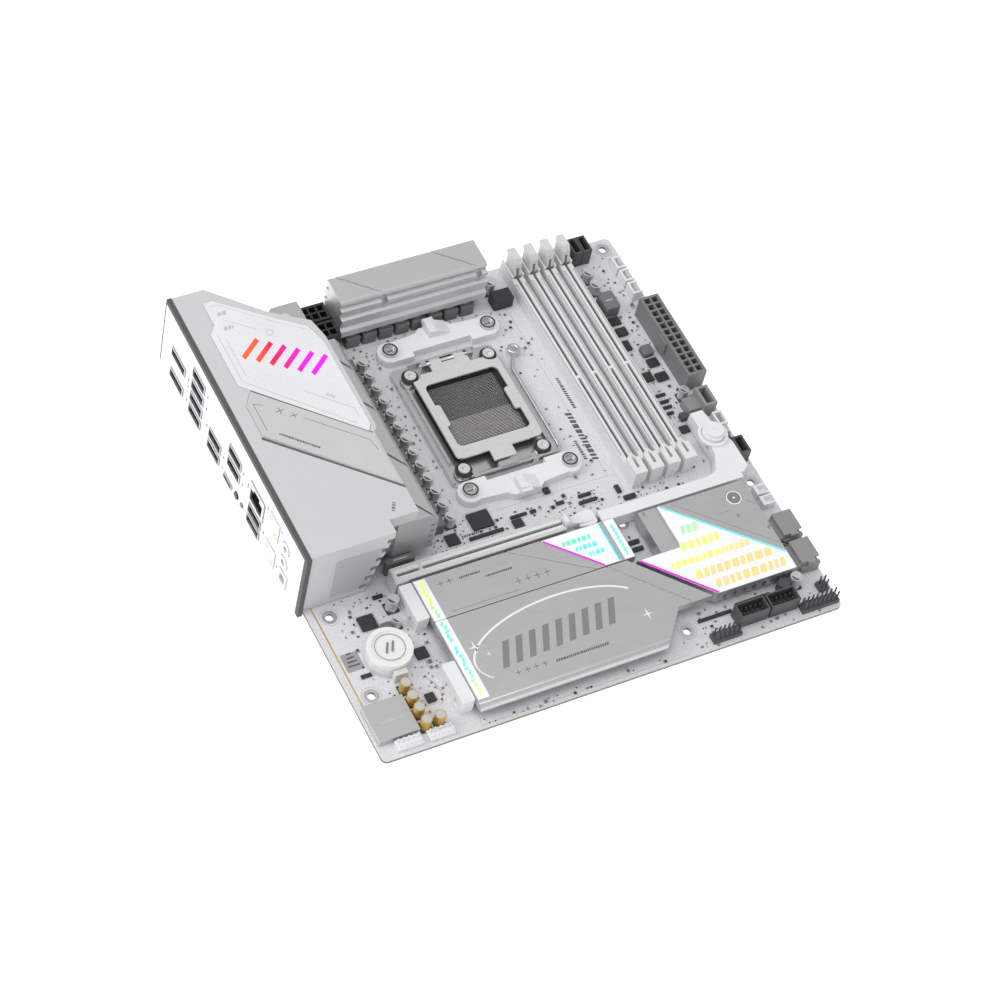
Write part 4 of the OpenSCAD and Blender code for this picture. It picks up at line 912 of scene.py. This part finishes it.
def spark(x, y, long_arm, short_arm, low, high, waist=0.5):
    """A four-pointed star: long and short tips with a narrow waist between them."""
    turn = np.radians(np.arange(8) * 45)
    radius = np.where(np.arange(8) % 2 == 1, waist, np.where(np.arange(8) % 4 == 0, short_arm, long_arm))
    return slab(np.column_stack([x + radius * np.cos(turn), y + radius * np.sin(turn)]), low, high)


def line(x0, y0, x1, y1, width):
    """One bar from point to point."""
    length = math.hypot(x1 - x0, y1 - y0)
    turn = math.degrees(math.atan2(y1 - y0, x1 - x0))
    return (x0 + x1) / 2, (y0 + y1) / 2, length, width, turn, 0


def put(name, level, shapes, material, slot, lift=LIFT):
    """Marks lying on a surface, just proud of it."""
    return make_piece(name, *shapes(level - 0.03, level + lift), [material], slot=slot)


def put_bars(name, level, rows, material, slot, lift=LIFT):
    """Bars lying on a surface."""
    return put(name, level, lambda low, high: bars(rows, low, high), material, slot, lift)


def at_heights(parts, low, high):
    """The flat bands again at two given heights; the lower half of each band's points goes to the low one."""
    moved = []
    for p, f in parts:
        q = p.copy()
        half = len(q) // 2
        q[:half, 2], q[half:, 2] = low, high
        moved.append((q, f))
    return stack(moved)


def put_ribbons(name, level, parts, material, slot):
    """Ribbons lying on a surface."""
    return put(name, level, lambda low, high: at_heights(parts, low, high), material, slot)

# %% Cover marks
emblem = [(22.5 + 5.4 * k, 207.4 - 3.9 * k, 13.5, 2.5, 38, 0.25) for k in range(6)]
put_bars("cover_emblem", levels["cover_window"], emblem, emblem_glow, "cover_window")
window_lines = [ribbon([(14, 237), (18.4, 237), (38.5, 220), (54, 208.4)], 0.22, 0, 0),
                ribbon([(11, 220), (11, 190.4), (52, 150)], 0.3, 0, 0),
                ribbon([(14, 216), (14, 193)], 0.22, 0, 0),
                ribbon(swing((35, 213.5), 1.7, 1.7, 0, 350), 0.35, 0, 0),
                ribbon([(17, 228), (30, 217.4)], 0.22, 0, 0),
                ribbon([(36, 176), (54, 159), (54, 154)], 0.3, 0, 0)]
put_ribbons("window_outlines", levels["cover_window"], window_lines, faint_mark, "cover_window")
glyphs = legend(15.4, 231.4, 2, 2.2, 0) + legend(15.0, 222.4, 3, 2.0, 0) + legend(45, 171, 3, 1.6, -45)
put_bars("window_glyphs", levels["cover_window"], glyphs, faint_mark, "cover_window")
trim_rows = plus(20.4, 169.0, 2.0) + plus(25.6, 164.4, 1.8) + legend(14.6, 157.0, 20, 1.15, -43.5)
trim_rows += [line(10.2, 176.6, 14.4, 174.6, 0.25), line(10.2, 176.6, 10.2, 160.4, 0.25),
              line(29.2, 161.6, 53, 139.8, 0.22), line(53, 139.8, 54.4, 133, 0.22)]
put_bars("trim_marks", levels["cover_trim"], trim_rows, dark_mark, "cover_trim")
groove_rows = [line(12.2, 184.4, 56.4, 143.0, 0.55), line(6.0, 157.2, 57.2, 109.4, 0.9)]
put_bars("cover_dark_lines", levels["io_cover"], groove_rows, dark_mark, "io_cover", 0.03)
cover_dashes = legend(45.5, 98.5, 4, 1.6, 60)
put_bars("cover_small_mark", levels["io_cover"], cover_dashes, mid_mark, "io_cover", 0.03)
print("cover marks done")

# %% Plate marks
plate = levels["drive_heatsink_lower"]
big_bars = [(74 + 7.2 * k, 27.6 + 0.5 * k, 3.4, 13.5, 0, 0.45) for k in range(9)]
put_bars("plate_big_bars", plate, big_bars, mid_mark, "drive_heatsink_lower")
swoosh = [ribbon(swing((104, 29), 46, 19.5, 25, 178, 60, 4), 1.0, 0, 0),
          ribbon(swing((104, 29), 46, 19.5, 178, 205, 16, 4), 0.6, 0, 0)]
put_ribbons("plate_swoosh", plate, swoosh, white_mark, "drive_heatsink_lower")
put("plate_stars", plate, lambda low, high: stack([
    spark(62.0, 36, 4.2, 3.4, low, high, 0.6), spark(147, 24, 4.0, 3.2, low, high, 0.55),
    spark(66.6, 30.5, 1.6, 1.3, low, high, 0.3)]), white_mark, "drive_heatsink_lower")
plate_rows = [r for k in range(4) for r in plus(75 + 4.6 * k, 16.6, 1.5, 0.26)] + legend(94, 16.0, 24, 1.3, 0)
put_bars("plate_small_marks", plate, plate_rows, dark_mark, "drive_heatsink_lower")
upper_rows = [r for k in range(2) for r in plus(62.6 + 4.6 * k, 73.4, 1.7, 0.26)]
upper_rows += [r for k in range(4) for r in plus(98 + 5.0 * k, 62.0, 1.7, 0.26)]
upper_rows += legend(72, 73.2, 12, 1.1, 0) + legend(84, 69.8, 14, 1.1, 0) + [line(60, 57.4, 96, 57.4, 0.16)]
put_bars("plate_upper_marks", plate, upper_rows, dark_mark, "drive_heatsink_upper")
chip_marks = legend(172.4, 74.4, 2, 1.2, 90) + legend(215, 58, 2, 1.4, 45) + legend(226, 47, 2, 1.4, 45)
chip_marks += [line(188, 76.2, 231.6, 34, 0.22), line(206, 63, 214, 63, 0.2), line(224, 66, 232, 58, 0.2)]
disc = [(p + (219, 69, 0), f) for p, f in [tube_ring(0.6, 3.4, plate, plate + 0.24, 32)]]
make_piece("chipset_disc", *stack(disc), [mid_mark], slot="chipset_heatsink")
put_bars("chipset_marks", plate, chip_marks, mid_mark, "chipset_heatsink")
print("plate marks done")

# %% [markdown]
# ## Coloured dashes behind the light panels
# The white panels show rows of pastel dashes and two bright edges.

# %% Light panel dashes
strip = levels["drive_light_strips"]
STRIP_PITCH = 2.35
PLATE_SEAM = 54.8
strip_rows = []
for k in range(28):
    y = 12.8 + STRIP_PITCH * k
    if k == 12 or abs(y - PLATE_SEAM) <= 1.6:
        continue
    strip_rows.append((53.6 + 0.5 * math.sin(k * 1.7), y, 2.4, 1.25, 62 if k % 3 else 20, 0.2))
strip_rows += [(154.3, 58.4 + 2.3 * k, 2.2, 1.1, 70, 0.2) for k in range(8)]
quad_rows = [r for k in range(3) for r in legend(126 + 5 * k, 73.0 - 4.6 * k, 6 - k, 2.6, 0)]
quad_rows = [r for r in quad_rows if r[0] < 146.5]
put_bars("strip_dashes", strip, strip_rows + quad_rows, candy, "drive_light_strips")
panel = levels["chipset_light_panel"]
panel_starts = ((180, 69.0, 6, 4.6), (172, 60.6, 12, 4.6), (163, 52.0, 16, 4.6),
                (170, 43.6, 18, 3.2), (178, 35.2, 16, 4.6), (185, 27.6, 14, 4.6))
panel_rows = [r for x, y, count, height in panel_starts for r in legend(x, y, count, height, 0)]


def within(x, y):
    """Left of the cyan edge and right of the magenta one."""
    past_magenta = (x - 157.6) * (22.6 - 52.3) - (y - 52.3) * (185.2 - 157.6) < -60
    short_of_cyan = (x - 182.0) * (32.8 - 77.0) - (y - 77.0) * (228.0 - 182.0) > 70
    on_panel = 24 < y < 75 and x < 226 and (x > 182.5 or y < 51)
    return on_panel and past_magenta and short_of_cyan


panel_rows = [r for r in panel_rows
              if within(r[0] - r[2] / 2, r[1] - 2) and within(r[0] + r[2] / 2, r[1] + 2)]
put_bars("panel_dashes", panel, panel_rows, candy, "chipset_light_panel")
left_edges = [line(118.8, 78.1, 140.9, 55.7, 0.9), line(157.9, 52.0, 185.2, 22.9, 0.9)]
right_edges = [line(149.0, 55.9, 149.0, 78.1, 0.8), line(181.6, 76.6, 227.6, 32.4, 0.8)]
put_bars("magenta_edges", strip, left_edges, magenta_edge, "drive_light_strips")
put_bars("cyan_edges", strip, right_edges, cyan_edge, "chipset_light_panel")
print(len(strip_rows) + len(quad_rows) + len(panel_rows), "dashes")

# %% [markdown]
# ## Capacitor tops
# A can's pale top carries a dark printed third that marks its pole. The gold-sleeved cans have bare
# metal tops. The places come from the CAD cans themselves.

# %% Capacitor tops
def top_discs(name, share, low_lift, start, sweep):
    """Discs, or parts of discs, on the tops of round solids; radius is a share of the solid's own."""
    parts = []
    for x0, y0, z0, x1, y1, z1 in islands(name):
        if z1 < 4 or x1 - x0 > 9 or abs((x1 - x0) - (y1 - y0)) > 1.2:
            continue
        radius = share * min(x1 - x0, y1 - y0) / 2
        t = np.radians(np.linspace(start, start + sweep, 20, endpoint=sweep < 360))
        rim = np.column_stack([(x0 + x1) / 2 + radius * np.cos(t), (y0 + y1) / 2 + radius * np.sin(t)])
        parts.append(slab(rim, z1 - 0.02, z1 + low_lift))
    return parts


silver_tops = top_discs("power_capacitors", 0.84, 0.05, 0, 360)
dark_thirds = top_discs("power_capacitors", 0.78, 0.09, 150, 130)
gold_tops = top_discs("audio_capacitors", 0.80, 0.05, 0, 360)
make_piece("can_tops", *stack(silver_tops), [can_top], slot="power_capacitors")
make_piece("can_poles", *stack(dark_thirds), [dark_mark], slot="power_capacitors")
make_piece("gold_can_tops", *stack(gold_tops), [can_top], slot="audio_capacitors")
choke_rows = [((x0 + x1) / 2, (y0 + y1) / 2, 0.46 * (x1 - x0), 0.7, 0, 0.2, z1) for x0, y0, z0, x1, y1, z1 in
              islands("power_chokes") if z1 > 5]
choke_marks = [bars([row[:6]], row[6] - 0.02, row[6] + 0.04) for row in choke_rows]
make_piece("choke_marks", *stack(choke_marks), [faint_mark], slot="power_chokes")
print(len(silver_tops), "silver cans,", len(gold_tops), "gold cans,", len(choke_marks), "chokes marked")

# %% [markdown]
# ## Dark rims round the socket
# The steel frame stands on a black moulded carrier, so black shows as strips along its sides, as
# collars under its screws and as small hinge blocks at the far edge.

# %% Socket trim
collars = []
for x, y in ((105, 132.5), (148, 132.5), (105, 192.5), (148, 192.5)):
    p, f = tube_ring(3.05, 4.3, 3.2, 4.2, 28)
    collars.append((p + (x, y, 0), f))
for x0, x1 in ((114.5, 119.0), (131.0, 135.6)):
    p, f = brick(0.16)
    collars.append((p * (x1 - x0, 4.2, 3.2) + ((x0 + x1) / 2, 187.2, 3.0), f))
for x, y0, y1 in ((106.3, 141.5, 184.5), (148.2, 141.5, 184.5)):
    p, f = brick(0.1)
    collars.append((p * (2.4, y1 - y0, 0.9) + (x, (y0 + y1) / 2, 3.1), f))
for x0, y0, z0, x1, y1, z1 in islands("cooler_screws"):
    radius = min(x1 - x0, y1 - y0) / 2
    p, f = tube_ring(radius * 0.80, radius * 1.0, z1 - 0.02, z1 + 0.03, 28)
    collars.append((p + ((x0 + x1) / 2, (y0 + y1) / 2, 0), f))
make_piece("socket_dark_trim", *stack(collars), [black_plastic], slot="socket_housing")
print("socket trim:", len(collars), "pieces")

# %% [markdown]
# ## Hatched wall, pins and small marks
# The cover's end wall has a patch of slanted fine lines, and black blocks sit in its stepped edge as painted
# shade, dark where the inside of each notch lies in shade.

# %% Wall hatch and pins
hatch = []
for k in range(44):
    start = -6.0 + 0.9 * k
    low = max(4.0, 4.0 + (13.0 - start) / 0.55)
    high = min(33.0, (31.5 - start) / 0.28)
    if high - low < 2:
        continue
    ends = [(start + 0.55 * (z - 4.0), z) for z in (low, high)]
    flat = [ends[0], (ends[0][0] + 0.2, low), (ends[1][0] + 0.2, high), ends[1]]
    points = np.array([(u, y, w) for y in (87.45, 87.52) for u, w in flat])
    hatch.append((points, [[0, 1, 2, 3], [7, 6, 5, 4], [0, 4, 5, 1],
                           [1, 5, 6, 2], [2, 6, 7, 3], [3, 7, 4, 0]]))
make_piece("wall_hatch", *stack(hatch), [mid_mark], slot="io_cover")
# Painted shade: black blocks stand for the shade inside the notches of the stepped edge.
notch_shade_boxes = [((31.2 + 2.1 * k, 90.6, 4.0 + 6.2 * k), (3.4, 2.2, 2.0)) for k in range(6)]
make_piece("notch_painted_shade", *blocks(notch_shade_boxes), [black_plastic], slot="io_cover")
pin_places = [(238.6, y + 1.5 + 1.5 * k, 1.6) for y in (201.6, 210.4, 219.2, 112.8) for k in range(4)]
make_piece("fan_pins", *copies(block_points, block_faces, pin_places, [(0.64, 0.64, 4.4)] * len(pin_places)),
           [bright_steel], slot="white_headers")
cap_rows = [(24.6, 50.6, 6.0, 1.0, 62, 0.3), (27.4, 50.6, 6.0, 1.0, 62, 0.3)]
cap_top = top_of("battery_cap")
ring_p, ring_f = tube_ring(7.0, 7.3, cap_top - 0.02, cap_top + 0.03, 40)
cap_parts = [bars(cap_rows, cap_top - 0.02, cap_top + 0.03), (ring_p + (26, 50.6, 0), ring_f)]
make_piece("cap_marks", *stack(cap_parts), [mid_mark], slot="battery_cap")
shield_top = top_of("audio_shield")
shield_rows = legend(6.4, 17.6, 11, 1.1, 0)
make_piece("shield_marks", *bars(shield_rows, shield_top - 0.02, shield_top + 0.03), [faint_mark],
           slot="audio_shield")
print("hatch lines", len(hatch), "pins", len(pin_places))

# %% Panel marks
panel_face = float(triangles_of("io_panel")[0][:, 0].min())
side_rows = [
    (216.4, 18.4, 0.9, 2.8), (216.4, 13.6, 0.9, 1.6), (216.4, 3.2, 0.9, 2.2), (196.0, 29.6, 0.9, 2.2),
    (196.0, 20.6, 0.9, 2.2), (193.4, 11.4, 0.9, 2.2), (173.4, 11.0, 0.9, 1.8), (173.6, 3.0, 0.9, 1.8),
    (153.0, 24.0, 0.9, 2.2), (153.0, 15.4, 0.9, 2.2), (147.6, 21.8, 0.9, 3.2), (127.6, 10.6, 0.9, 2.2),
    (111.4, 5.0, 0.9, 1.8), (127.0, 30.4, 0.7, 3.0), (111.6, 31.4, 1.6, 0.8)]
face_points, face_faces = copies(*brick(0.0), [(panel_face - 0.01, y, z - h / 2) for y, z, w, h in side_rows],
                                 [(0.06, w, h) for y, z, w, h in side_rows])
make_piece("panel_marks", face_points, face_faces, [dark_mark], slot="io_panel")
print(len(side_rows), "panel marks")

# %% [markdown]
# ## Soft edges
# Real mouldings and machined blocks have small rounds that catch the light. A weld joins the split
# corners of the CAD mesh and a bevel then cuts back every sharp edge by an eighth to a quarter of a
# millimetre. The shape's size does not change.

# %% Bevels
SOFT_GROUPS = {
    0.25: ["release_cover", "cooler_brackets"],
    0.22: ["io_cover"],
    0.2: ["power_heatsink_top", "chipset_heatsink", "end_blocks", "graphics_latch", "audio_shield"],
    0.18: ["power_heatsink_side", "drive_heatsink_lower"],
    0.15: ["drive_heatsink_upper", "power_chokes", "battery_cap"],
    0.12: ["memory_slots", "main_power_connector", "storage_ports", "socket_load_plate", "socket_frame",
           "graphics_slot"]}
SOFT_GROUPS[0.2] += [f"memory_latch_{k}" for k in range(1, 5)]
SOFT = {name: width for width, names in SOFT_GROUPS.items() for name in names}
for name, width in SOFT.items():
    weld = nodes[name].modifiers.new("weld", "WELD")
    weld.merge_threshold = 1e-6
    bevel = nodes[name].modifiers.new("soft_edges", "BEVEL")
    bevel.width, bevel.segments, bevel.limit_method = width * MM, 2, "ANGLE"
    bevel.angle_limit = math.radians(35)
    bevel.harden_normals = True
    bevel.use_clamp_overlap = True
print("bevels on", len(SOFT), "nodes")
